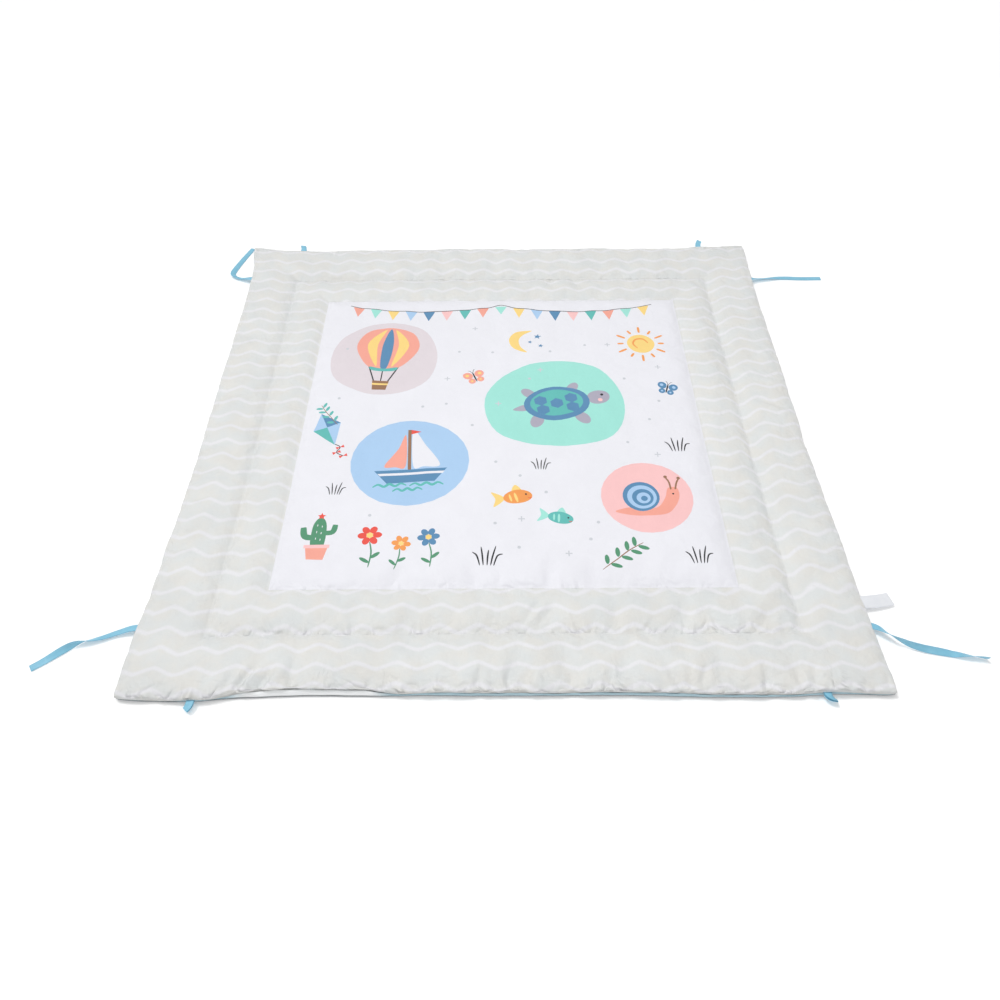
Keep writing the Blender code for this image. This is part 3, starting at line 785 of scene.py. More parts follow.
# %% [markdown]
# The top is one mesh with two cloths. The border is a grid whose lines run through the
# stitching. The panel inside it is filled with triangles by a constrained Delaunay call:
# it takes the grid's points along the panel's edge, loose points inside, and every outline of
# the print as a face, and it tells for each triangle which outlines it lies in. The last of
# them gives the triangle its ink.

# %% Points of the panel and of the border
TOP_INSET = 0.009
BORDER_STEP = 0.0041
PANEL_STEP = 0.0064
PANEL_FINE_BAND = 0.026
INK_CLEAR = 0.0019
PANEL = STITCHED["panel"]
PANEL_LOW = (-PANEL["left"], -PANEL["front"])
PANEL_HIGH = (PANEL["right"], PANEL["back"])


def linear(red, green, blue):
    """A colour as it is picked on a screen, turned to the values that light adds up in."""
    made = []
    for value in (red, green, blue):
        share = value / 255
        made.append(share / 12.92 if share <= 0.04045 else ((share + 0.055) / 1.055) ** 2.4)
    return tuple(made) + (1.0,)


def points_clear_of(points, outlines, clear):
    """The points that lie at least so far from every outline's own points."""
    tree = point_tree([corner for outline in outlines for corner in outline])
    return [point for point in points if tree.find((point[0], point[1], 0.0))[2] > clear]


def evened(outline):
    """An outline turned counter-clockwise, with extra points wherever two lie far apart."""
    doubled_area = sum(ax * by - bx * ay for (ax, ay), (bx, by) in zip(outline, outline[1:] + outline[:1]))
    outline = outline if doubled_area > 0 else outline[::-1]
    made = []
    for (ax, ay), (bx, by) in zip(outline, outline[1:] + outline[:1]):
        count = max(1, math.ceil(math.hypot(bx - ax, by - ay) / OUTLINE_STEP))
        made += [(ax + (bx - ax) * k / count, ay + (by - ay) * k / count) for k in range(count)]
    return made


def panel_inside_points():
    """Loose points inside the panel: close together beside its edge, further apart in the middle."""
    inner_low = [value + PANEL_FINE_BAND for value in PANEL_LOW]
    inner_high = [value - PANEL_FINE_BAND for value in PANEL_HIGH]
    made = []
    for step, fine in ((BORDER_STEP, True), (PANEL_STEP, False)):
        columns = np.arange(PANEL_LOW[0] + step, PANEL_HIGH[0] - step / 2, step)
        rows = np.arange(PANEL_LOW[1] + step, PANEL_HIGH[1] - step / 2, step)
        for index, y in enumerate(rows):
            for x in columns + (step / 2 if index % 2 else 0.0):
                inside = inner_low[0] < x < inner_high[0] and inner_low[1] < y < inner_high[1]
                if inside != fine and x < PANEL_HIGH[0] - step / 2:
                    made.append((x, y))
    return made


OUTLINES = [evened(outline) for _, outline in PRINT]
LOOSE_POINTS = points_clear_of(panel_inside_points(), OUTLINES, INK_CLEAR)
print("loose points in the panel", len(LOOSE_POINTS))

# %% Fill the panel with triangles
def panel_fill(edge_points):
    """Triangles of the panel: their points, the edge point each stands for, and their inks."""
    points = [Vector(point) for point in edge_points]
    loops = [list(range(len(points)))]
    for outline in OUTLINES:
        first = len(points)
        points += [Vector(point) for point in outline]
        loops.append(list(range(first, len(points))))
    points += [Vector(point) for point in LOOSE_POINTS]
    made, _, triangles, origins, _, inside = delaunay_2d_cdt(points, [], loops, 0, 1e-6)
    edge_of = [next((k for k in origin if k < len(edge_points)), -1) for origin in origins]
    inks = [PRINT[max(loop) - 1][0] if max(loop, default=0) > 0 else None for loop in inside]
    return [tuple(point) for point in made], edge_of, triangles, inks


def square_ring(columns, rows):
    """Indices (row, column) of the outer points of a grid, counter-clockwise from the front left."""
    last_row, last_column = len(rows) - 1, len(columns) - 1
    ring = [(0, c) for c in range(last_column)] + [(r, last_column) for r in range(last_row)]
    ring += [(last_row, c) for c in range(last_column, 0, -1)] + [(r, 0) for r in range(last_row, 0, -1)]
    return ring


def top_net():
    """Cloth coordinates, faces and inks of the whole top, and its outer ring of points."""
    columns = lines_through(stitch_marks("left", "right", HALF - TOP_INSET), BORDER_STEP)
    rows = lines_through(stitch_marks("front", "back", HALF - TOP_INSET), BORDER_STEP)
    left, right = (int(np.argmin(np.abs(columns - x))) for x in (PANEL_LOW[0], PANEL_HIGH[0]))
    front, back = (int(np.argmin(np.abs(rows - y))) for y in (PANEL_LOW[1], PANEL_HIGH[1]))
    number, places = {}, []
    for r, y in enumerate(rows):
        for c, x in enumerate(columns):
            if not (left < c < right and front < r < back):
                number[r, c] = len(places)
                places.append((x, y))
    faces, inks = [], []
    for r in range(len(rows) - 1):
        for c in range(len(columns) - 1):
            if not (left <= c < right and front <= r < back):
                faces.append([number[r, c], number[r, c + 1], number[r + 1, c + 1], number[r + 1, c]])
                inks.append("border")
    inner = [(r + front, c + left) for r, c in square_ring(columns[left:right + 1], rows[front:back + 1])]
    made, edge_of, triangles, panel_inks = panel_fill([places[number[key]] for key in inner])
    index_of = []
    for point, edge in zip(made, edge_of):
        if edge < 0:
            index_of.append(len(places))
            places.append(point)
        else:
            index_of.append(number[inner[edge]])
    faces += [[index_of[k] for k in triangle] for triangle in triangles]
    inks += panel_inks
    return np.array(places), faces, inks, [number[key] for key in square_ring(columns, rows)]


TOP_PLACES, TOP_FACES, TOP_INKS, TOP_RING = top_net()
print("top:", len(TOP_PLACES), "points,", len(TOP_FACES), "faces")

# %% [markdown]
# At the rim the cloth rolls over to the seam, and the folds of the top run down the roll. So a
# row of the roll isn't at a fixed height: it follows the share of its height that the top has
# kept at that place. The sharpest folds of the front edge are again listed one by one. Left of the
# middle the roll lies higher, so that a strip of the back cloth shows under it.

# %% Folds and heights of the edge
# Rows in mm: inset from the outline and height, down the roll and then under it
EDGE_ROLL = in_metres([(6.2, 18.2), (4, 17.5), (2.2, 16.5), (0.8, 15.2), (0, 13.6), (0.4, 12.2),
                       (0.6, 11.2), (0.9, 10.3), (1.1, 9.4), (1, 8.4)])
SEAM_TOP, ROLL_TOP = 0.0084, 0.0192
UNDER_ROWS = in_metres([(3, 7), (5.2, 5.2), (8.2, 3.6), (13, 2.5), (19, 1.9)])
# Height, paces in x and y, start
SEAM_WAVES = [(0.0011, 21, 16, 0.0), (0.0008, 53, -41, 1.0)]
WAVE_FLOOR, WAVE_DEPTH = 0.0018, 0.005
THIN_ABOVE = 0.011
ROLL_BULGE = 0.014
# Sharp folds of the front edge and the corners, as the main creases above
FRONT_FOLDS = in_metres([
    (-425, -577, 74, 22, 6, -4), (-404, -578, 54, 32, 6, -7.4), (-389, -568, 56, 30, 7.5, 3.6),
    (-371, -579, 64, 26, 6, -5.4), (-352, -572, 60, 20, 6.5, 2), (-447, -574, 60, 18, 7, 1.8),
    (-330, -580, 96, 20, 6, -2.4), (-205, -582, 84, 16, 6, -1.6), (-41, -582, 80, 22, 6, -3.2),
    (-19, -580, 101, 20, 6, -2.8), (4, -582, 85, 22, 6, -3.6), (34, -579, 68, 24, 6.5, -4.2),
    (48, -574, 70, 20, 7.5, 2.2), (104, -583, 96, 18, 6, -2.4), (160, -583, 82, 18, 6, -2.2),
    (262, -579, 112, 26, 6.5, -4.4), (285, -582, 94, 20, 6, -3), (305, -577, 73, 24, 6.5, -3.8),
    (352, -583, 88, 18, 6, -2.2), (401, -581, 84, 20, 6, -3.6), (452, -579, 102, 20, 6, -3),
    (477, -576, 80, 22, 6, -3), (47, -452, 52, 26, 6, -2.8), (58, -459, 50, 24, 7, 1.8),
    (-458, -478, 24, 18, 5.5, -2.2), (-463, -470, 46, 20, 5.5, -2.6), (-470, -462, 68, 18, 5.5, -2.2),
    (457, -479, 156, 18, 5.5, -2.2), (463, -470, 133, 20, 5.5, -2.6), (471, -461, 111, 18, 5.5, -2.2),
    (-455, 440, 40, 20, 6, -1.8), (455, 440, 140, 20, 6, -1.8),
], degrees=2)
# Soft creases that run in from the left and right edges, likewise
SIDE_FOLDS = in_metres([
    (-562, -432, -14, 26, 7, 1.7), (-566, -384, 24, 20, 6, 1.3), (-560, -336, 20, 24, 5.5, 1.9),
    (-556, -326, 22, 24, 5, -1.3), (-568, -281, 28, 18, 6, 1.4), (-561, -222, 26, 24, 6, 2),
    (-556, -211, 24, 20, 5, -1.2), (-566, -153, 18, 22, 6, 1.6), (-562, -94, 27, 24, 6.5, 1.9),
    (-566, -28, 25, 20, 6, 1.5), (-560, 43, 21, 26, 6.5, 2), (-557, 57, 22, 22, 5.5, -1.2),
    (-566, 121, 24, 20, 6, 1.4), (-562, 205, 20, 24, 6.5, 1.6), (-566, 303, 22, 22, 6.5, 1.4),
    (560, -366, 158, 24, 6, 1.4), (566, -283, 152, 20, 6, 1.6), (558, -192, 156, 26, 6.5, 1.5),
    (556, 12, 150, 28, 6.5, 1.9), (550, 26, 150, 26, 5.5, -1.3), (562, 92, 154, 24, 6.5, 1.6),
    (560, 187, 148, 26, 6.5, 1.8), (564, 296, 152, 22, 6.5, 1.4),
], degrees=2)
STRIP_MIDDLE, STRIP_REACH, STRIP_LIFT, STRIP_INSET = -0.302, 0.116, 0.004, 0.0066
FOLD_DEPTH = 1.35
SEAM_SINK, RIBBON_REACH = -0.004, 0.022
FRONT_SINK = in_metres([(-600, -4), (-440, -4), (-380, -1.6), (-160, -0.4), (-80, 1.6), (300, 1.8),
                        (420, 0.6), (500, -1.4), (600, -4)])
RIBBON_PLACES = [("left", -0.473), ("left", 0.476), ("right", -0.476), ("right", -0.431), ("right", 0.468),
                 ("front", -0.48), ("front", 0.492), ("back", 0.484), ("back", -0.479)]
print("folds by hand", len(FRONT_FOLDS), "in front and", len(SIDE_FOLDS), "at the sides")

# %% [markdown]
# The seam waves a little and is pulled up where a ribbon is sewn in. A row of the roll is then
# a ring of points at one inset and one height, moved by the wave and by the folds above it.

# %% Rolled edge
RIBBON_PULL = 0.9


def seam_wave(u, v):
    """How far the seam lies over or under its mean height at places of the edge."""
    return sum(height * np.sin(pace_x * u + pace_y * v + start)
               for height, pace_x, pace_y, start in SEAM_WAVES)


def strip_share(u, v):
    """1 where the back cloth shows as a strip under the front roll, 0 elsewhere."""
    return np.where(v < -0.5, np.exp(-((u - STRIP_MIDDLE) / STRIP_REACH) ** 6), 0.0)


def seam_rise(u, v):
    """Where the seam lies: low all round, up to its ribbons, and highest over the strip."""
    sunk = np.ones(np.shape(u))
    for side, place in RIBBON_PLACES:
        along, across = (v, u) if side in ("left", "right") else (u, v)
        across = across if side in ("right", "back") else -across
        near = np.exp(-((along - place) / RIBBON_REACH) ** 2) * (across > 0.5)
        sunk = sunk * (1 - RIBBON_PULL * near)
    at_front = (v < -0.5) & (np.abs(u) <= np.abs(v))
    sink = np.where(at_front, np.interp(u, *zip(*FRONT_SINK)), SEAM_SINK)
    return sink * sunk + STRIP_LIFT * strip_share(u, v)


def top_points(u, v):
    """Places in the room for points of the top, with swells, creases, puckers and folds."""
    x, y = sewn_outline(u, v)
    points = np.stack([x, y, padding_height(u, v)], axis=-1)
    points += puckers_at(u, v)
    points[:, 2] += near_rise(u, v, SHORT_PUCKERS)
    points[:, 2] += near_rise(u, v, FRONT_FOLDS + SIDE_FOLDS) * FOLD_DEPTH
    return points


def rim_points(u, v, inset, height, kept=1.0, shift=0.0):
    """One row of points round the edge, at an inset from the outline and a height."""
    share = np.clip((height - SEAM_TOP) / (ROLL_TOP - SEAM_TOP), 0.0, 1.0)
    strip = strip_share(u, v)
    inset = inset - (kept - 1.0) * ROLL_BULGE * math.sin(math.pi * share)
    inset = inset + strip * STRIP_INSET * min(height / SEAM_TOP, 1.0) ** 2 * (1 - share * share)
    grow = (HALF - inset) / (HALF - TOP_INSET)
    x, y = sewn_outline(u * grow, v * grow)
    thinned = max(height - THIN_ABOVE, 0.0) * (1 - corner_factor(u * grow, v * grow))
    z = height + max(height - SEAM_TOP, 0.0) * (kept - 1.0) - thinned
    wave = np.minimum(max(height - WAVE_FLOOR, 0.0) / WAVE_DEPTH, 1.0)
    z = z + (seam_wave(u * grow, v * grow) + seam_rise(u, v) * (1 - share)) * wave
    return np.stack([x, y, z], axis=-1) + shift * share


RING_U, RING_V = TOP_PLACES[TOP_RING].T
print("points round the rim", len(TOP_RING))

# %% [markdown]
# The rows are put together with the top into one closed mesh. Its corners carry the cloth
# coordinates as a UV map and the ink as a colour, which is what the material reads.

# %% Meshes from rows
def closed_rows(first_index, count, rows):
    """Faces between closed rows of points that follow each other."""
    made = []
    for row in range(rows):
        low, high = first_index + row * count, first_index + (row + 1) * count
        for index in range(count):
            after = (index + 1) % count
            made.append([low + index, low + after, high + after, high + index])
    return made


def shut_tube(count, rows):
    """Faces of a tube of closed rows, with a face over each end."""
    ends = [list(range(count)), list(range(count * (rows - 1), count * rows))]
    return closed_rows(0, count, rows - 1) + ends


def mesh_piece(name, points, faces, cloth_places, materials, finishes=None, inks=None):
    """An object from points and faces, smooth, faces out, with its cloth coordinates and inks."""
    mesh = bpy.data.meshes.new(name)
    mesh.from_pydata([tuple(point) for point in points], [], faces)
    if finishes is not None:
        mesh.polygons.foreach_set("material_index", finishes)
    corners = np.empty(len(mesh.loops), np.int32)
    mesh.loops.foreach_get("vertex_index", corners)
    layer = mesh.uv_layers.new(name="cloth")
    layer.data.foreach_set("uv", np.asarray(cloth_places, np.float32)[corners].ravel())
    if inks is not None:
        sizes = np.empty(len(mesh.polygons), np.int32)
        mesh.polygons.foreach_get("loop_total", sizes)
        ink = mesh.color_attributes.new("ink", "FLOAT_COLOR", "CORNER")
        ink.data.foreach_set("color", np.repeat(np.asarray(inks, np.float32), sizes, axis=0).ravel())
    shape = bmesh.new()
    shape.from_mesh(mesh)
    bmesh.ops.recalc_face_normals(shape, faces=shape.faces)
    shape.to_mesh(mesh)
    shape.free()
    mesh.shade_smooth()
    for material in materials:
        mesh.materials.append(material)
    return in_scene(name, mesh)


print("a tube of three rows of four points has", len(shut_tube(4, 3)), "faces")

# %% The padded mat
FIRST_ROW_AWAY = 0.002


def make_mat(border_finish, panel_finish):
    """The whole padded mat: top, rolled edge and underside, as one closed mesh."""
    top = top_points(TOP_PLACES[:, 0], TOP_PLACES[:, 1])
    plain = CROWN * padding_share(RING_U, RING_V)
    kept = top[TOP_RING][:, 2] / plain
    shift = puckers_at(RING_U, RING_V) * np.array([1.0, 1.0, 0.0])
    rows, places = [top], [TOP_PLACES]
    before, drawn = None, 0.0
    for inset, height in EDGE_ROLL + UNDER_ROWS:
        row = rim_points(RING_U, RING_V, inset, height, kept, shift)
        drawn += FIRST_ROW_AWAY if before is None else float(np.linalg.norm(row - before, axis=1).mean())
        before = row
        rows.append(row)
        places.append(TOP_PLACES[TOP_RING] * (1 + drawn / HALF))
    count, first = len(TOP_RING), len(TOP_PLACES)
    faces = [list(face) for face in TOP_FACES]
    for index in range(count):
        after = (index + 1) % count
        faces.append([TOP_RING[index], TOP_RING[after], first + after, first + index])
    faces += closed_rows(first, count, len(rows) - 2)
    last = first + count * (len(rows) - 2)
    faces.append(list(range(last, last + count)))
    white = linear(*INK["white"])
    inks = [linear(*INK[ink]) if ink in INK else white for ink in TOP_INKS]
    inks += [white] * (len(faces) - len(inks))
    finishes = [0 if ink == "border" else 1 for ink in TOP_INKS] + [0] * (len(faces) - len(TOP_INKS))
    return mesh_piece("quilted_mat", np.concatenate(rows), faces, np.concatenate(places),
                      [border_finish, panel_finish], finishes, inks)


print("roll rows", len(EDGE_ROLL), "and under rows", len(UNDER_ROWS))

# %% [markdown]
# Now the finishes. Cloth seen from a step away is colour, a soft sheen and small unevenness,
# and from near by it is threads. Three effects are used by more than one cloth, so each is a
# shader node group that is built once: a plain weave, a satin weave and a slow mottling.
# A few helpers keep the node code short. A Value stands for what comes out of a socket, and
# arithmetic with it adds the math nodes to the socket's own tree.

# %% Node helpers
class Value:
    """What comes out of a socket of a shader tree, to reckon with like a number."""

    def __init__(self, socket):
        self.socket = socket

    def __add__(self, other):
        return calc("ADD", self, other)

    def __sub__(self, other):
        return calc("SUBTRACT", self, other)

    def __rsub__(self, other):
        return calc("SUBTRACT", other, self)

    def __mul__(self, other):
        return calc("MULTIPLY", self, other)

    def __truediv__(self, other):
        return calc("DIVIDE", self, other)

    def __rtruediv__(self, other):
        return calc("DIVIDE", other, self)

    def __abs__(self):
        return calc("ABSOLUTE", self)


def feed(socket, value):
    """Link a socket to a Value, or give it a plain value."""
    if isinstance(value, Value):
        socket.id_data.links.new(value.socket, socket)
    else:
        socket.default_value = value


def tree_of(*values):
    """The tree that the first Value among some values is in."""
    return next(value.socket.id_data for value in values if isinstance(value, Value))


def new_node(kind, *values):
    """A node beside the values, which are fed to its first sockets."""
    node = tree_of(*values).nodes.new("ShaderNode" + kind)
    for socket, value in zip(node.inputs, values):
        feed(socket, value)
    return node


def calc(operation, *values):
    """A math node's result."""
    node = new_node("Math", *values)
    node.operation = operation
    return Value(node.outputs[0])


def ramped(value, low, high, to_low=0.0, to_high=1.0):
    """A value taken smoothly from one range to another."""
    node = new_node("MapRange", value, low, high, to_low, to_high)
    node.interpolation_type = "SMOOTHSTEP"
    return Value(node.outputs[0])


def mixed(share, first, second, way="MIX"):
    """Two colours mixed by a share."""
    node = tree_of(share, first, second).nodes.new("ShaderNodeMix")
    node.data_type, node.blend_type = "RGBA", way
    for index, value in ((0, share), (6, first), (7, second)):
        feed(node.inputs[index], value)
    return Value(node.outputs[2])


def noise(vector, scale, detail=2.0, rough=0.5):
    """A noise value between 0 and 1."""
    node = new_node("TexNoise", vector)
    for name, value in (("Scale", scale), ("Detail", detail), ("Roughness", rough)):
        feed(node.inputs[name], value)
    return Value(node.outputs["Fac"])


def parts_of(vector):
    """The three numbers of a vector."""
    return [Value(socket) for socket in new_node("SeparateXYZ", vector).outputs]


def vector_of(x, y, z):
    """A vector from three numbers."""
    return Value(new_node("CombineXYZ", x, y, z).outputs[0])


print("node helpers are ready")

# %% Shader groups
FLOAT, VECTOR = "NodeSocketFloat", "NodeSocketVector"


def new_group(name, numbers, outputs):
    """An empty shader group that takes a vector and some numbers: the group, what it is given, its end."""
    group = bpy.data.node_groups.new(name, "ShaderNodeTree")
    group.interface.new_socket(name="Vector", in_out="INPUT", socket_type=VECTOR)
    for socket, value in numbers.items():
        made = group.interface.new_socket(name=socket, in_out="INPUT", socket_type=FLOAT)
        made.default_value = value
    for socket in outputs:
        group.interface.new_socket(name=socket, in_out="OUTPUT", socket_type=FLOAT)
    given = {socket.name: Value(socket) for socket in group.nodes.new("NodeGroupInput").outputs}
    return group, given, group.nodes.new("NodeGroupOutput").inputs


def use_group(group, vector, **numbers):
    """A group placed in the vector's tree, and its outputs by name."""
    node = tree_of(vector).nodes.new("ShaderNodeGroup")
    node.node_tree = group
    for name, value in {"Vector": vector, **numbers}.items():
        feed(node.inputs[name], value)
    return {socket.name: Value(socket) for socket in node.outputs}


print("sockets are", FLOAT, "and", VECTOR)

# %% [markdown]
# A plain weave is warp threads and weft threads that take turns on top. The sign of two sines
# says which lies on top at a place, and the sine itself rounds the thread.

# %% Weaves and mottling
RIB_NOISE, RIB_UNEVEN, RIB_RISE = 900.0, 1.6, 0.5
FLOAT_PACE, FLOAT_RISE = 0.31, 0.12


def plain_weave_group():
    """Height of the threads of a plain weave."""
    group, given, end = new_group("plain weave", {"Thread": 0.0004}, ["Height"])
    x, y, _ = parts_of(given["Vector"])
    turn = math.pi / given["Thread"]
    warp, weft = calc("SINE", x * turn), calc("SINE", y * turn)
    on_top = calc("GREATER_THAN", warp * weft, 0.0)
    feed(end["Height"], abs(warp) * on_top + abs(weft) * (1.0 - on_top))
    return group


def satin_weave_group():
    """Long floats across a ribbon: fine ribs, broken up a little by noise."""
    group, given, end = new_group("satin weave", {"Rib": 0.0007}, ["Height"])
    x, y, _ = parts_of(given["Vector"])
    turn = 2 * math.pi / given["Rib"]
    ribs = calc("SINE", y * turn + noise(given["Vector"], RIB_NOISE) * RIB_UNEVEN)
    floats = calc("SINE", x * turn * FLOAT_PACE)
    feed(end["Height"], ribs * RIB_RISE + floats * FLOAT_RISE)
    return group


def mottling_group():
    """Slow patches for colour and sheen, and soft small wrinkles as a height."""
    group, given, end = new_group("mottling", {"Patch": 14.0, "Wrinkle": 70.0}, ["Patches", "Wrinkles"])
    feed(end["Patches"], ramped(noise(given["Vector"], given["Patch"], 3.0, 0.55), 0.3, 0.7))
    feed(end["Wrinkles"], noise(given["Vector"], given["Wrinkle"], 2.5, 0.45))
    return group


PLAIN_WEAVE, SATIN_WEAVE, MOTTLING = plain_weave_group(), satin_weave_group(), mottling_group()
print("groups", [group.name for group in bpy.data.node_groups])

# %% [markdown]
# The cloth beside a seam stands in small round puffs with sharp short creases between them.
# They are finer than the mesh can carry, so they are a bump: a noise folded at its middle value,
# so that round ridges meet in sharp valleys, which fades with the distance from the seam.
# A second slow noise along the seam leans the creases to one side or the other, and bunches
# them at some places. On the outer side of a seam, the cloth is smoother.

# %% Gathers beside a seam
GATHER_WIDE, GATHER_LONG, BUNCH_LONG = 0.023, 0.024, 0.085
GATHER_LEAN, OUTER_SHARE, SIDE_SHARE = 6.0, 0.35, 0.3
BUNCH_FROM, BUNCH_TO, BUNCH_LEAST = 0.36, 0.58, 0.35
SEAM_HALF, VALLEY_SOFT, ENDS_APART = 0.002, 0.0006, 3.0


def gathers_group():
    """Height of the gathers beside the nearest side of one sewn square."""
    numbers = {"Left": 0.5, "Right": 0.5, "Front": 0.5, "Back": 0.5, "Reach": 0.012, "Start": 0.0}
    group, given, end = new_group("gathers", numbers, ["Height"])
    x, y, _ = parts_of(given["Vector"])
    from_side = calc("MINIMUM", x + given["Left"], given["Right"] - x)
    from_end = calc("MINIMUM", y + given["Front"], given["Back"] - y)
    by_side = calc("LESS_THAN", from_side, from_end)
    away = calc("MINIMUM", from_side, from_end)
    along = y * by_side + (x + ENDS_APART) * (1.0 - by_side)
    slow = noise(vector_of(along / BUNCH_LONG, 0.0, given["Start"]), 1.0, 1.0)
    bunched = ramped(slow, BUNCH_FROM, BUNCH_TO, BUNCH_LEAST, 1.0)
    bunched = bunched * ramped(away, -SEAM_HALF, SEAM_HALF, OUTER_SHARE, 1.0)
    bunched = bunched * ramped(by_side, 0.0, 1.0, 1.0, SIDE_SHARE)
    leant = along + away * ((slow - 0.5) * GATHER_LEAN)
    place = vector_of(leant / GATHER_WIDE, away / GATHER_LONG, given["Start"])
    folds = noise(place, 1.0, 1.0, 0.45) - 0.5
    folds = calc("SQRT", folds * folds + VALLEY_SOFT)
    faded = calc("EXPONENT", abs(away) / given["Reach"] * -1.0)
    feed(end["Height"], folds * bunched * faded)
    return group


GATHERS = gathers_group()
print("gathers", round(1000 * GATHER_WIDE, 1), "mm wide")

# %% [markdown]
# The chevrons of the border are a common zigzag stripe. They run across the whole mat and
# don't turn at the corners, because the top is one printed cloth. A row's white line lies at
# a fixed pitch in v, and a triangle wave in u lifts and lowers it.

# %% Chevron print
CHEVRON_LONG, CHEVRON_START = 0.06285, 0.0218
CHEVRON_PITCH, CHEVRON_FIRST = 0.0373, -0.585
CHEVRON_RISE, CHEVRON_LINE, CHEVRON_SOFT = 0.0125, 0.0074, 0.0054
CHEVRON_ROUND, WAVER_SCALE, WAVER = 0.45, 60.0, 0.0016
# The rows sag at the front right, and are drawn down beside the right-hand stitching
SAG, SAG_ACROSS, SAG_ALONG = 0.006, (0.05, 0.12), (-0.475, -0.46, -0.42, -0.4)
DRAWN_DOWN, DRAWN_REACH, DRAWN_ALONG = 0.0055, 0.03, (-0.47, -0.44, 0.3, 0.42)
# How far the rows have crept towards the front, from the front edge to the back
CREPT = [(-0.62, 0.0075), (-0.55, 0.0088), (-0.44, 0.0122), (-0.38, 0.011), (-0.2, 0.0075),
         (0.1, 0.0082), (0.33, 0.01), (0.46, 0.007), (0.52, 0.003), (0.57, -0.005), (0.62, -0.011)]
CREPT_END, CREPT_GAIN = 0.62, 25.0


def crept(along):
    """How far the print has crept at a place along the mat, read from a curve node."""
    node = new_node("FloatCurve", 1.0, (along + CREPT_END) / (2 * CREPT_END))
    curve = node.mapping.curves[0]
    for index, (place, value) in enumerate(CREPT):
        spot = ((place + CREPT_END) / (2 * CREPT_END), value * CREPT_GAIN + 0.5)
        if index in (0, len(CREPT) - 1):
            curve.points[0 if index == 0 else -1].location = spot
        else:
            curve.points.new(*spot)
    node.mapping.update()
    return (Value(node.outputs[0]) - 0.5) / CREPT_GAIN


def between(value, low, low_full, high_full, high):
    """1 between two places of a value and 0 outside, with a soft step at each end."""
    return ramped(value, low, low_full) * ramped(value, high_full, high, 1.0, 0.0)


def chevron_group():
    """1 on the white zigzag line, 0 on the ground between two lines."""
    group, given, end = new_group("chevron stripe", {"Line": CHEVRON_LINE}, ["Mask"])
    x, y, _ = parts_of(given["Vector"])
    waver = (noise(given["Vector"], WAVER_SCALE) - 0.5) * WAVER
    wave = (0.25 - calc("PINGPONG", (x - CHEVRON_START) / CHEVRON_LONG, 0.5)) * 4.0
    wave = wave * (1 - CHEVRON_ROUND) + calc("SINE", wave * (math.pi / 2)) * CHEVRON_ROUND
    sag = ramped(x, *SAG_ACROSS, 0.0, SAG) * between(y, *SAG_ALONG)
    down = ramped(abs(x - STITCHED["middle"]["right"]), 0.0, DRAWN_REACH, DRAWN_DOWN, 0.0)
    down = down * between(y, *DRAWN_ALONG)
    level = y + crept(y) + (waver + sag + down) - (wave * (CHEVRON_RISE / 2) + CHEVRON_FIRST)
    row = calc("PINGPONG", level, CHEVRON_PITCH / 2)
    half = given["Line"] * 0.5
    feed(end["Mask"], ramped(row, half - CHEVRON_SOFT / 2, half + CHEVRON_SOFT / 2, 1.0, 0.0))
    return group


CHEVRON = chevron_group()
print("a chevron is", round(1000 * CHEVRON_LONG, 1), "mm long")

# %% [markdown]
# Each finish is one material. The colours and the roughness come through nodes, and what is
# the same all over, such as the sheen, is set on the shader itself.

# %% Colours and cotton
# roll shade and floor shade are painted shade; strip is a painted highlight on the back cloth.
COLOURS = {
    "ground": (219, 222, 222), "warm ground": (223, 222, 218), "chevron": (229, 229, 232),
    "roll shade": (120, 122, 122), "back": (175, 203, 213), "back patches": (169, 198, 209),
    "strip": (249, 251, 252), "floor shade": (92, 98, 102), "ribbon": (134, 196, 221),
    "ribbon edge": (112, 178, 206), "label": (232, 234, 238), "label edge": (218, 221, 228),
    "thread": (236, 237, 238), "thread shade": (220, 221, 224), "floor": (250, 250, 250),
    "floor patches": (252, 252, 252),
}
COLOUR = {name: linear(*value) for name, value in COLOURS.items()}
THREAD_PITCH, THREAD_RISE = 0.00042, 0.00004
COTTON_SHEEN, COTTON_ROUGH, SHEEN_ROUGH = 0.25, 0.72, 0.45
WEAVE_DARK, WEAVE_LIGHT = 0.965, 0.05


def new_finish(name, sheen=0.0, specular=0.35):
    """A material, its shader's sockets, and the two coordinates: in the cloth and in the room."""
    material = bpy.data.materials.new(name)
    material.use_nodes = True
    nodes = material.node_tree.nodes
    shader = nodes["Principled BSDF"].inputs
    shader["Sheen Weight"].default_value = sheen
    shader["Sheen Roughness"].default_value = SHEEN_ROUGH
    shader["Specular IOR Level"].default_value = specular
    cloth = nodes.new("ShaderNodeUVMap")
    cloth.uv_map = "cloth"
    room = nodes.new("ShaderNodeTexCoord").outputs["Object"]
    return material, shader, Value(cloth.outputs[0]), Value(room)


def bumped(shader, height):
    """Feed a height in metres to the shader's normal."""
    bump = tree_of(height).nodes.new("ShaderNodeBump")
    for name, value in (("Distance", 1.0), ("Strength", 1.0), ("Height", height)):
        feed(bump.inputs[name], value)
    feed(shader["Normal"], Value(bump.outputs[0]))


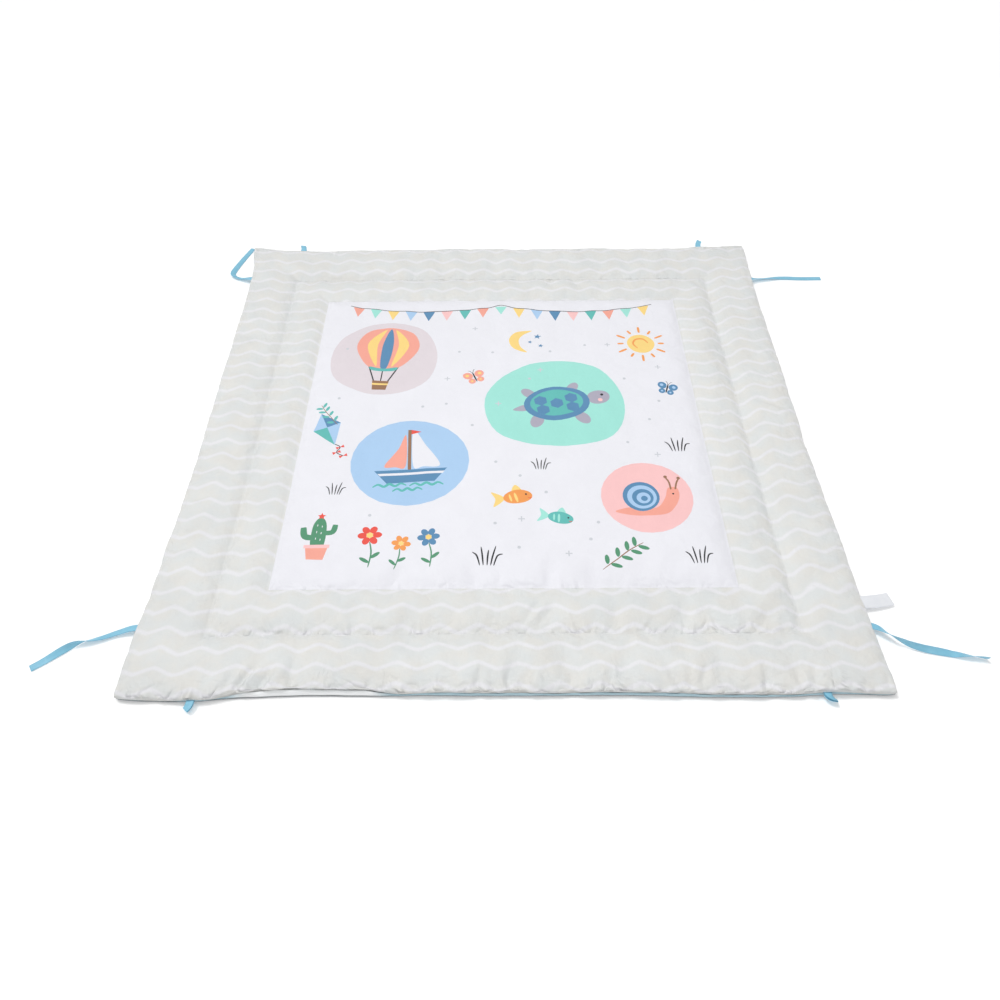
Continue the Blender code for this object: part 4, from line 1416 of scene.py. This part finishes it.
def cotton(name, colour_of, wrinkle=0.001, patch_shade=0.035, rough=COTTON_ROUGH, seams=()):
    """Woven cotton whose colour comes from a function of the cloth's and the room's coordinates."""
    material, shader, cloth, room = new_finish(name, COTTON_SHEEN)
    mottle = use_group(MOTTLING, room)
    weave = use_group(PLAIN_WEAVE, cloth, Thread=THREAD_PITCH)["Height"]
    # The weave's low places are painted a little darker, as painted shade of the threads; the patches are
    # a random tone.
    shade = (1.0 - mottle["Patches"] * patch_shade) * (weave * WEAVE_LIGHT + WEAVE_DARK)
    grey = Value(new_node("CombineColor", shade, shade, shade).outputs[0])
    feed(shader["Base Color"], mixed(1.0, colour_of(cloth, room), grey, "MULTIPLY"))
    feed(shader["Roughness"], ramped(mottle["Patches"], 0.0, 1.0, rough - 0.05, rough + 0.05))
    height = weave * THREAD_RISE + mottle["Wrinkles"] * wrinkle
    for left, right, front, back, reach, rise, start in seams:
        gathers = use_group(GATHERS, cloth, Left=left, Right=right, Front=front, Back=back, Reach=reach,
                            Start=start)
        height = height + gathers["Height"] * rise
    bumped(shader, height)
    return material


print("colours", len(COLOURS))

# %% [markdown]
# Shade is painted on the printed cloth as it rolls under the edge, and a painted contact shadow on
# the back cloth where it nears the floor. In a short stretch of the front edge the back cloth shows
# as a pale strip: there the roll stays clear and its painted shade is left out, and a painted
# highlight makes the strip nearly white.

# %% Colours of the cloths
# Printed cloth: the distances from the middle between which its painted shade grows, and how strong it
# gets
ROLL_SHADE = (0.596, 0.613, 0.4)
# Back cloth: the heights between which its painted contact shadow fades out, and how strong it is below
# them
FLOOR_SHADE = (0.003, 0.0056, 0.94)
GROUND_PATCH, BACK_PATCH = 22.0, 40.0
# Where the strip's painted highlight fades, and the roll's painted shade returns: in shares of its reach,
# and in y
STRIP_FADE, STRIP_FRONT = (0.8, 1.15), (-0.56, -0.54)


def at_strip(x, y):
    """1 in the stretch of the front edge with the pale strip, and 0 elsewhere."""
    low, high = (STRIP_REACH * share for share in STRIP_FADE)
    return ramped(abs(x - STRIP_MIDDLE), low, high, 1.0, 0.0) * ramped(y, *STRIP_FRONT, 1.0, 0.0)


def border_colour(cloth, room):
    """White zigzags on a pale grey ground that is warmer in some places, with painted shade down the roll.
    """
    warm = use_group(MOTTLING, cloth, Patch=GROUND_PATCH)["Patches"]
    ground = mixed(warm, COLOUR["ground"], COLOUR["warm ground"])
    printed = mixed(use_group(CHEVRON, cloth)["Mask"], ground, COLOUR["chevron"])
    x, y, _ = parts_of(cloth)
    low, high, most = ROLL_SHADE
    # Painted shade: darker as the cloth rolls under the edge, but left out over the strip.
    painted_roll_shade = ramped(calc("MAXIMUM", abs(x), abs(y)), low, high, 0.0, most) * (1.0 - at_strip(x, y))
    return mixed(painted_roll_shade, printed, COLOUR["roll shade"])


def panel_colour(cloth, room):
    """The inks that the mesh carries."""
    ink = tree_of(cloth).nodes.new("ShaderNodeVertexColor")
    ink.layer_name = "ink"
    return Value(ink.outputs["Color"])


def back_colour(cloth, room):
    """Pale blue, with a painted highlight that makes the strip nearly white and a painted shadow beside
    the floor.
    """
    patches = use_group(MOTTLING, cloth, Patch=BACK_PATCH)["Patches"]
    x, y, _ = parts_of(cloth)
    # Painted highlight: the back cloth is painted nearly white along the strip.
    lit = mixed(at_strip(x, y), mixed(patches, COLOUR["back"], COLOUR["back patches"]), COLOUR["strip"])
    low, high, most = FLOOR_SHADE
    # Painted contact shadow: the back cloth darkens towards the floor.
    return mixed(ramped(parts_of(room)[2], low, high, most, 0.0), lit, COLOUR["floor shade"])


print("roll shade", ROLL_SHADE, "floor shade", FLOOR_SHADE)

# %% [markdown]
# Satin has ribs and a firm woven edge. The sewing thread is two plies twisted together.

# %% Satin, thread and all finishes
RIBBON_WIDTH, LABEL_WIDTH = 0.012, 0.024
SATIN_PATCH, SATIN_WRINKLE, SATIN_WRINKLE_RISE, SATIN_EDGE_RISE = 60.0, 180.0, 0.0002, 0.00012
SATIN_EDGE, PLY_PITCH = (0.0005, 0.0011), 0.0007


def satin(name, colour, edge_colour, width, rib, sheen, rough=0.42):
    """Ribbon or label satin: ribs across, and a firmer edge along both sides."""
    material, shader, cloth, room = new_finish(name, sheen, 0.5)
    weave = use_group(SATIN_WEAVE, cloth, Rib=rib)["Height"]
    mottle = use_group(MOTTLING, room, Patch=SATIN_PATCH, Wrinkle=SATIN_WRINKLE)
    edge = ramped(width / 2 - abs(parts_of(cloth)[0]), *SATIN_EDGE, 1.0, 0.0)
    body = mixed(mottle["Patches"] * 0.35, colour, edge_colour)
    feed(shader["Base Color"], mixed(edge * 0.6, body, edge_colour))
    feed(shader["Roughness"], ramped(mottle["Patches"], 0.0, 1.0, rough - 0.06, rough + 0.08))
    height = weave * THREAD_RISE + mottle["Wrinkles"] * SATIN_WRINKLE_RISE
    bumped(shader, height + edge * SATIN_EDGE_RISE)
    return material


def thread_finish(name, colour, shade_colour):
    """Sewing thread: two plies twisted round each other."""
    material, shader, _, room = new_finish(name, 0.3)
    x, y, _ = parts_of(room)
    twist = calc("SINE", (x + y) * (2 * math.pi / PLY_PITCH))
    feed(shader["Base Color"], mixed(ramped(twist, -1.0, 1.0), colour, shade_colour))
    feed(shader["Roughness"], ramped(noise(room, 300.0), 0.3, 0.7, 0.55, 0.75))
    bumped(shader, twist * THREAD_RISE)
    return material


# A seam: its four distances from the middle, its reach, its rise and the start of its noise
SEAM_SIZES = {name: (line["left"], line["right"], line["front"], line["back"])
              for name, line in STITCHED.items()}
BORDER_SEAMS = [(HALF, HALF, HALF, HALF, 0.017, 0.03, 3.0), (*SEAM_SIZES["middle"], 0.01, 0.03, 17.0),
                (*SEAM_SIZES["panel"], 0.007, 0.012, 41.0)]
PANEL_SEAMS = [(*SEAM_SIZES["panel"], 0.01, 0.015, 41.0)]
BORDER_COTTON = cotton("border cotton", border_colour, wrinkle=0.0022, rough=0.58, seams=BORDER_SEAMS)
PANEL_COTTON = cotton("panel cotton", panel_colour, wrinkle=0.0012, patch_shade=0.02, rough=0.62,
                      seams=PANEL_SEAMS)
BACK_COTTON = cotton("back cotton", back_colour)
BLUE_RIBBON = satin("blue ribbon", COLOUR["ribbon"], COLOUR["ribbon edge"], RIBBON_WIDTH, 0.0008, 0.08)
LABEL_SATIN = satin("label satin", COLOUR["label"], COLOUR["label edge"], LABEL_WIDTH, 0.0005, 0.05, 0.36)
WHITE_THREAD = thread_finish("white thread", COLOUR["thread"], COLOUR["thread shade"])
print("finishes", [made.name for made in bpy.data.materials])

# %% Make the mat
mat = make_mat(BORDER_COTTON, PANEL_COTTON)
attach(mat, "root")
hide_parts("padded_mat")
mat_top = max(vertex.co.z for vertex in mat.data.vertices)
print("mat faces", len(mat.data.polygons), "top", round(1000 * mat_top, 1), "mm")

# %% [markdown]
# The back cloth lies on the floor and turns up to the seam all round. It is a sheet, so it is
# a thin shell: an inner row of points for each outer row. It stands a hair proud of the roll
# above it, which is why a fine blue line shows along the mat's edge.

# %% Back cloth
# Rows in mm: inset and height, from the inner rim up to the seam and down to the floor
BACK_INSIDE = in_metres([(18, 1.2), (11.2, 1.9), (6.6, 3.2), (3.6, 5), (1.8, 6.6), (1.3, 7.7)])
BACK_OUTSIDE = in_metres([(0.6, 8.3), (-0.2, 7.9), (-0.6, 6.9), (-0.6, 5.6), (-0.6, 4.2), (-0.4, 2.8),
                          (0.1, 1.3), (2.6, 0.3), (12, 0)])
# Where the blue line shows along the front edge: 1 is fully, 0 is tucked under the roll
BLUE_SHOWS = [(-0.6, 0.0), (-0.5, 0.25), (-0.43, 0.0), (-0.38, 1.5), (-0.21, 1.5), (-0.14, 0.5),
              (-0.08, 0.8), (0.1, 1.0), (0.44, 1.0), (0.5, 0.3), (0.6, 0.1)]
BLUE_TUCK, TUCK_REACH = 0.0016, 0.004
RIPPLE, RIPPLE_PACES = 0.0004, (140, 90)


def back_rows():
    """Rows of points round the back cloth, from its inner rim over the seam to the floor."""
    rows = []
    pace_u, pace_v = RIPPLE_PACES
    at_front = RING_V <= -np.abs(RING_U)
    tucked = np.where(at_front, 1 - np.interp(RING_U, *zip(*BLUE_SHOWS)), 0.5) * BLUE_TUCK
    for inset, height in BACK_INSIDE + BACK_OUTSIDE:
        ripple = RIPPLE * np.sin(pace_u * RING_U + pace_v * RING_V) * min(height / SEAM_TOP, 1.0)
        row = rim_points(RING_U, RING_V, inset, height)
        outward = np.stack([np.where(np.abs(RING_U) > np.abs(RING_V), np.sign(RING_U), 0.0),
                            np.where(np.abs(RING_V) >= np.abs(RING_U), np.sign(RING_V), 0.0)], axis=-1)
        row[:, :2] += outward * (ripple - tucked * (inset < TUCK_REACH))[:, None]
        rows.append(row)
    return rows


def make_back():
    """The back cloth as one closed shell."""
    rows = back_rows()
    points, faces = np.concatenate(rows), shut_tube(len(RING_U), len(rows))
    return mesh_piece("back_cloth", points, faces, points[:, :2], [BACK_COTTON])


back = make_back()
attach(back, "root")
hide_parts("backing")
print("back cloth faces", len(back.data.polygons))

# %% [markdown]
# Ties and loops are cut from a narrow woven ribbon, the label from satin. Such a strip is
# swept along its middle line: at each step a level vector across it is turned by the twist
# there. It gets a thin closed section with rounded edges and a slight hollow across it, as a
# real ribbon has, and its own cloth coordinates for the weave.

# %% Strips of ribbon
RIBBON_THICK = 0.0008
SEAM_HEIGHT, ROOT_INSET, ROOT_STRAIGHT = 0.0087, 0.002, 0.004
CLOTH_GAP = 0.0003
STRIP_COLUMNS = 10
RIBBON_HOLLOW = 0.0004
EDGE_BULGE, EDGE_ROUNDING, EDGE_POWER = 1.012, 0.35, 8


def root_point(side, place, width):
    """Where a strip leaves the seam, the way straight out, and the way along the edge."""
    edge = HALF - ROOT_INSET
    sign = -1 if side in ("left", "front") else 1
    nominal = np.array([place - width / 2, place, place + width / 2])
    cut = np.full(3, sign * edge)
    u, v = (cut, nominal) if side in ("left", "right") else (nominal, cut)
    x, y = sewn_outline(u, v)
    points = [Vector(point) for point in zip(x, y, SEAM_HEIGHT + seam_wave(u, v))]
    along_edge = (points[2] - points[0]).normalized()
    outward = along_edge.cross(Vector((0, 0, 1)))
    if outward.dot(points[1]) < 0:
        outward.negate()
    clearance = max((point - points[1]).dot(outward) for point in points)
    return points[1] + outward * clearance, outward, along_edge


def half_side(forward, twist, width):
    """Half of a strip's width as a vector: level across the way forward, then twisted about it."""
    level = Vector((forward.y, -forward.x, 0)).normalized() * (width / 2)
    return Matrix.Rotation(twist, 3, forward) @ level


def strip_piece(name, centres, half_sides, thickness, finish, hollow):
    """A closed thin strip with rounded edges along a middle line, with cloth coordinates."""
    section = [(-1 + 2 * k / STRIP_COLUMNS, 1.0) for k in range(STRIP_COLUMNS + 1)]
    under = [(across, -1.0) for across, _ in section[::-1]]
    section = section + [(EDGE_BULGE, 0.0)] + under + [(-EDGE_BULGE, 0.0)]
    points, places, travelled = [], [], 0.0
    for index, centre in enumerate(centres):
        before, after = centres[max(index - 1, 0)], centres[min(index + 1, len(centres) - 1)]
        travelled += (centre - before).length
        up = (after - before).cross(half_sides[index]).normalized()
        for across, face in section:
            rounding = 1 - EDGE_ROUNDING * abs(across) ** EDGE_POWER
            lift = face * thickness / 2 * rounding + hollow * (across * across - 0.5)
            points.append(centre + half_sides[index] * across + up * lift)
            places.append((across * half_sides[index].length, travelled))
    return mesh_piece(name, points, shut_tube(len(section), len(centres)), places, [finish]), travelled


print("a strip's section has", 2 * STRIP_COLUMNS + 4, "points")

# %% [markdown]
# A tie's route is read from a smooth curve through a few given places: x, y and height
# under the ribbon in mm, and its twist in degrees. They repeat the solid's, so the tie lies
# where its solid lies.

# %% Ties
TIE_STEPS = 150
TIES = {
    "tie_front_left": ("left", -0.473, [
        (-606, -473.5, 7, 8), (-629, -479, 2, 14), (-650, -487, 0.4, 24), (-668, -493, 0.3, 45),
        (-682, -497, 0.3, 78), (-697, -505, 0.3, 122), (-714, -516, 0.3, 158), (-731, -529, 0.3, 174),
        (-748, -541, 0.3, 180)]),
    "tie_front_right": ("right", -0.476, [
        (606, -481.5, 8.5, -14), (614.5, -489.5, 7.5, -38), (624, -497.5, 7, -60),
        (635, -504.5, 6, -82), (649, -511.5, 4.2, -106), (670, -517.3, 2, -130),
        (692.4, -521, 0.6, -152), (714.3, -524.5, 0.3, -180), (734.5, -529, 0.3, -220),
        (752.7, -532.8, 0.3, -246), (766, -535.6, 0.3, -252)]),
    "tie_back_right": ("right", 0.468, [
        (604, 470, 2.8, -24), (626.3, 473.5, 0.6, -28), (643, 476.5, 0.3, -16), (660, 478.5, 0.4, -4),
        (680, 478, 0.8, 0), (700, 476.8, 0.5, 0), (720, 476.2, 0.3, 0), (739, 476.4, 0.3, 0),
        (758.5, 476.6, 0.3, 0)]),
    "tie_back_left": ("left", 0.476, [
        (-600, 478, 6, 10), (-614, 483, 1.2, 18), (-628, 489, 0.3, 24), (-637, 499, 0.3, 28),
        (-637, 514, 0.3, 22), (-631, 541, 0.3, 12), (-623, 570, 0.3, 6), (-615, 596, 0.3, 0),
        (-610, 609, 0.3, 0)]),
}


def dress(piece, node):
    """Attach a strip to the root body and hide its solid."""
    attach(piece, "root")
    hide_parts(node)


def make_ribbon(node, centres, half_sides, hollow):
    """A strip of the blue ribbon, dressed over its solid."""
    piece, length = strip_piece("ribbon_" + node, centres, half_sides, RIBBON_THICK, BLUE_RIBBON, hollow)
    dress(piece, node)
    print(piece.name, "is", round(1000 * length), "mm long")


def make_tie(name, side, place, route):
    """One ribbon tie, from its root in the seam along its route to its free end."""
    root, outward, _ = root_point(side, place, RIBBON_WIDTH)
    rows = [(0.0, *root, 0.0), (1.0, *(root + outward * ROOT_STRAIGHT), 0.0)]
    for index, (x, y, under, degrees) in enumerate(in_metres(route, degrees=3)):
        twist = math.radians(degrees)
        lift = abs(math.sin(twist)) * RIBBON_WIDTH / 2 + abs(math.cos(twist)) * RIBBON_THICK / 2
        rows.append((index + 2.0, x, y, under + lift, degrees))
    places = np.linspace(0.0, len(rows) - 1.0, TIE_STEPS + 1)
    samples = curve_values(rows, places)
    centres = [Vector(sample[:3]) for sample in samples]
    half_sides = []
    for index, sample in enumerate(samples):
        before, after = centres[max(index - 1, 0)], centres[min(index + 1, TIE_STEPS)]
        forward = outward if places[index] < 1 else (after - before).normalized()
        half_sides.append(half_side(forward, math.radians(sample[3]), RIBBON_WIDTH))
    for centre, across in zip(centres, half_sides):
        centre.z = max(centre.z, abs(across.z) + RIBBON_THICK / 2 + RIBBON_HOLLOW / 2 + CLOTH_GAP)
    make_ribbon(name, centres, half_sides, RIBBON_HOLLOW)


for name, row in TIES.items():
    make_tie(name, *row)

# %% [markdown]
# A loop is one strip folded in two: out along its upper layer, round a half circle and back
# along its lower layer. The way across stays the same through the fold, or the strip would
# turn over at the tip.

# %% Loops
# Side, place, reach, lean, height of the tip, its turn in degrees, how far it opens
LOOPS = {
    "loop_front_left": ("front", -0.48, 0.016, -0.005, 0.0066, 12, 0.0003),
    "loop_front_right": ("front", 0.492, 0.014, 0.012, 0.0072, -50, 0.0011),
    "loop_back_right": ("back", 0.488, 0.03, 0.007, 0.014, 8, 0.0003),
    "loop_back_left": ("back", -0.479, 0.026, -0.004, 0.0125, 20, 0.0011),
}
LOOP_HALF_ROOT, LOOP_HALF_TIP = 0.0007, 0.0009
LOOP_STEPS, FOLD_STEPS = 28, 12
LOOP_HOLLOW = 0.0001


def make_loop(name, side, place, reach, lean, tip_height, turn, opening):
    """One folded ribbon loop, from the seam round its fold and back to the seam."""
    root, outward, along_edge = root_point(side, place, RIBBON_WIDTH)
    root.z += LOOP_HALF_ROOT
    upper, lower = [], []
    for step in range(LOOP_STEPS + 1):
        t = step / LOOP_STEPS
        centre = root + outward * reach * t + along_edge * lean * t ** 3
        centre.z += (tip_height - root.z) * t ** 2
        forward = (outward * reach + along_edge * lean * 3 * t ** 2).normalized()
        across = half_side(forward, math.radians(turn) * t ** 2, RIBBON_WIDTH)
        up = across.cross(forward).normalized()
        half_gap = LOOP_HALF_ROOT + (LOOP_HALF_TIP - LOOP_HALF_ROOT) * t
        half_gap += opening * math.sin(math.pi * t) ** 2
        upper.append((centre + up * half_gap, across))
        lower.append((centre - up * half_gap, across))
    fold = []
    for step in range(1, FOLD_STEPS):
        angle = math.pi * step / FOLD_STEPS
        offset = up * math.cos(angle) + forward * math.sin(angle)
        fold.append((centre + offset * LOOP_HALF_TIP, across))
    centres, half_sides = zip(*(upper + fold + lower[::-1]))
    make_ribbon(name, centres, half_sides, LOOP_HOLLOW)


for name, row in LOOPS.items():
    make_loop(name, *row)

# %% [markdown]
# The side label is a tab of white satin. It stays blank.

# %% Label
LABEL_PLACE, LABEL_REACH, LABEL_THICK, LABEL_LEAN = -0.431, 0.055, 0.0006, 0.007
# How far along the label, its rise over the seam and its twist in degrees
LABEL_ROWS = [(0.0, 0.0, 0), (0.1, 0.0003, 0), (0.35, -0.0002, 1), (0.7, -0.0018, 2),
              (1.0, -0.0034, 3)]
LABEL_STEPS, LABEL_HOLLOW = 48, 0.0002


def make_label():
    """The blank label: it leaves the right edge's seam, sinks a little and ends free."""
    root, outward, along_edge = root_point("right", LABEL_PLACE, LABEL_WIDTH)
    centres, half_sides = [], []
    steps = curve_values(LABEL_ROWS, np.linspace(0.0, 1.0, LABEL_STEPS + 1))
    for step, (rise, degrees) in enumerate(steps):
        t = step / LABEL_STEPS
        centre = root + outward * LABEL_REACH * t + along_edge * LABEL_LEAN * t ** 2
        centre.z += rise
        forward = (outward * LABEL_REACH + along_edge * LABEL_LEAN * 2 * t).normalized()
        centres.append(centre)
        half_sides.append(half_side(forward, math.radians(degrees), LABEL_WIDTH))
    piece, length = strip_piece("satin_label", centres, half_sides, LABEL_THICK, LABEL_SATIN, LABEL_HOLLOW)
    dress(piece, "side_label")
    return piece


label = make_label()
print("label faces", len(label.data.polygons))

# %% [markdown]
# The stitches repeat along a line, so Geometry Nodes set them. The line is a chain of edges
# laid on the mat's surface. The tree turns it into a curve, cuts it at the stitch pitch, and
# puts a small rounded thread at each cut, turned to the curve's direction. Realize Instances
# makes them real, and the result is kept as a plain mesh.

# %% Stitch tree
STITCH_LONG, STITCH_WIDE, STITCH_PITCH = 0.0026, 0.0007, 0.0034
LINE_STEP = 0.003
STITCH_LIFT = 0.00005


def stitch_tree():
    """Geometry nodes that set one stitch at each step of a line."""
    tree = bpy.data.node_groups.new("stitches", "GeometryNodeTree")
    tree.interface.new_socket(name="Geometry", in_out="INPUT", socket_type="NodeSocketGeometry")
    for name, kind in (("Length", FLOAT), ("Width", FLOAT), ("Pitch", FLOAT),
                       ("Finish", "NodeSocketMaterial")):
        tree.interface.new_socket(name=name, in_out="INPUT", socket_type=kind)
    tree.interface.new_socket(name="Geometry", in_out="OUTPUT", socket_type="NodeSocketGeometry")
    start, end = tree.nodes.new("NodeGroupInput"), tree.nodes.new("NodeGroupOutput")
    kinds = ("MeshToCurve", "ResampleCurve", "InputTangent", "MeshUVSphere", "SetShadeSmooth",
             "InstanceOnPoints", "RealizeInstances", "SetMaterial")
    curve, cuts, tangent, ball, smooth, place, real, finish = (
        tree.nodes.new("GeometryNode" + kind) for kind in kinds)
    turn = tree.nodes.new("FunctionNodeAlignEulerToVector")
    size = tree.nodes.new("ShaderNodeCombineXYZ")
    cuts.mode, turn.axis = "LENGTH", "X"
    for name, value in (("Segments", 6), ("Rings", 5), ("Radius", 0.5)):
        ball.inputs[name].default_value = value
    for source, given, target, taken in (
            (start, "Geometry", curve, "Mesh"), (curve, "Curve", cuts, "Curve"),
            (start, "Pitch", cuts, "Length"), (cuts, "Curve", place, "Points"),
            (ball, "Mesh", smooth, "Geometry"), (smooth, "Geometry", place, "Instance"),
            (tangent, "Tangent", turn, "Vector"), (turn, "Rotation", place, "Rotation"),
            (start, "Length", size, "X"), (start, "Width", size, "Y"), (start, "Width", size, "Z"),
            (size, "Vector", place, "Scale"), (place, "Instances", real, "Geometry"),
            (real, "Geometry", finish, "Geometry"), (start, "Finish", finish, "Material"),
            (finish, "Geometry", end, "Geometry")):
        tree.links.new(source.outputs[given], target.inputs[taken])
    return tree


STITCHES = stitch_tree()
print("stitch tree has", len(STITCHES.nodes), "nodes")

# %% Sew the two squares
def square_lines(line):
    """The four corners of a stitched square in cloth coordinates, back to the first."""
    low, high = (-line["left"], -line["front"]), (line["right"], line["back"])
    return [low, (high[0], low[1]), high, (low[0], high[1]), low]


def surface_line(corners):
    """Points close together along straight lines of the cloth, on the mat's surface."""
    u, v = [], []
    for (au, av), (bu, bv) in zip(corners, corners[1:]):
        count = max(2, round(math.hypot(bu - au, bv - av) / LINE_STEP))
        u += list(np.linspace(au, bu, count, endpoint=False))
        v += list(np.linspace(av, bv, count, endpoint=False))
    points = top_points(np.array(u), np.array(v))
    points[:, 2] += STITCH_LIFT
    return points


def sewn(name, chains, thread):
    """Stitches along closed chains of points, as a plain mesh that rides on the mat."""
    points, edges = [], []
    for chain in chains:
        first = len(points)
        points += [tuple(point) for point in chain]
        edges += [(first + k, first + (k + 1) % len(chain)) for k in range(len(chain))]
    line = bpy.data.meshes.new(name + "_line")
    line.from_pydata(points, edges, [])
    guide = in_scene(name, line)
    nodes = guide.modifiers.new("stitches", "NODES")
    nodes.node_group = STITCHES
    values = {"Length": STITCH_LONG, "Width": STITCH_WIDE, "Pitch": STITCH_PITCH, "Finish": thread}
    for item in STITCHES.interface.items_tree:
        if item.item_type == "SOCKET" and item.in_out == "INPUT" and item.name in values:
            nodes[item.identifier] = values[item.name]
    settled = guide.evaluated_get(bpy.context.evaluated_depsgraph_get())
    made = bpy.data.meshes.new_from_object(settled)
    guide.modifiers.remove(nodes)
    guide.data = made
    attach(guide, "root")
    print(name, "has", len(made.polygons), "faces")


SEWN_LINES = [surface_line(square_lines(line)) for line in STITCHED.values()]
sewn("quilting_stitches", SEWN_LINES, WHITE_THREAD)

# %% [markdown]
# The stage is a pale floor that runs far past the view. The light is a studio's: one wide
# soft light from behind the left shoulder of the mat, a weak one from the front, a pale sky,
# and a soft box over the mat. The puckers only show if the wide light comes from the side, so
# it stands low enough for every ridge to have a lit and a shaded flank. The first two are suns
# with a wide angle, which light the whole mat equally. The soft box is near, so it fades a
# little towards the front and the back edge, as the photo does.
# The Standard view keeps white cloth white, where the default one is made for harsher light.

# %% Floor and light
FLOOR_HALF = 12.0
FLOOR_DROP = 0.0003
SKY_STRENGTH = 0.51
FLOOR_PATCH, FLOOR_ROUGH, FLOOR_GLOW, WHITE = 0.7, 0.9, 0.12, (1.0, 1.0, 1.0, 1.0)
# Name, where it comes from, its share of full light on the floor, its width in degrees, colour
LIGHTS = [
    ("wide light", (-0.54, 0.38, 1.15), 0.33, 18.0, (1.0, 0.998, 0.992)),
    ("front light", (0.35, -0.75, 0.9), 0.1, 50.0, (0.98, 0.99, 1.0)),
]
BOX_PLACE, BOX_SIZE, BOX_SHARE = (-0.12, -0.1, 1.5), 0.8, 0.19


def make_floor():
    """A square floor just under the mat."""
    mesh = bpy.data.meshes.new("floor")
    corners = [(x, y, -FLOOR_DROP) for x, y in bar(0.0, 0.0, FLOOR_HALF, FLOOR_HALF)]
    mesh.from_pydata(corners, [], [(0, 1, 2, 3)])
    floor = in_scene("floor", mesh)
    material, shader, _, room = new_finish("floor paper")
    pale = mixed(noise(room, FLOOR_PATCH), COLOUR["floor"], COLOUR["floor patches"])
    for name, value in (("Base Color", pale), ("Roughness", FLOOR_ROUGH), ("Emission Color", WHITE),
                        ("Emission Strength", FLOOR_GLOW)):
        feed(shader[name], value)
    mesh.materials.append(material)


def make_light(name, place, share, width, colour):
    """A wide soft light from one direction, as strong as the share of light it gives a level floor."""
    data = bpy.data.lights.new(name, "SUN")
    data.angle = math.radians(width)
    data.color = colour
    data.energy = share * math.pi * Vector(place).length / place[2]
    light = in_scene(name, data)
    light.rotation_mode = "QUATERNION"
    light.rotation_quaternion = (-Vector(place)).to_track_quat("-Z", "Y")
    return light


def make_soft_box():
    """A square light over the mat that faces down."""
    data = bpy.data.lights.new("soft box", "AREA")
    data.size = BOX_SIZE
    data.energy = BOX_SHARE * math.pi ** 2 * BOX_PLACE[2] ** 2
    light = in_scene("soft box", data)
    light.location = BOX_PLACE
    return light


make_floor()
lights = [make_light(*row) for row in LIGHTS] + [make_soft_box()]
bpy.context.scene.view_settings.view_transform = "Standard"
world = bpy.data.worlds.new("pale studio")
bpy.context.scene.world = world
world.use_nodes = True
sky = world.node_tree.nodes["Background"].inputs
sky["Color"].default_value, sky["Strength"].default_value = WHITE, SKY_STRENGTH
print("lights", [light.name for light in lights])
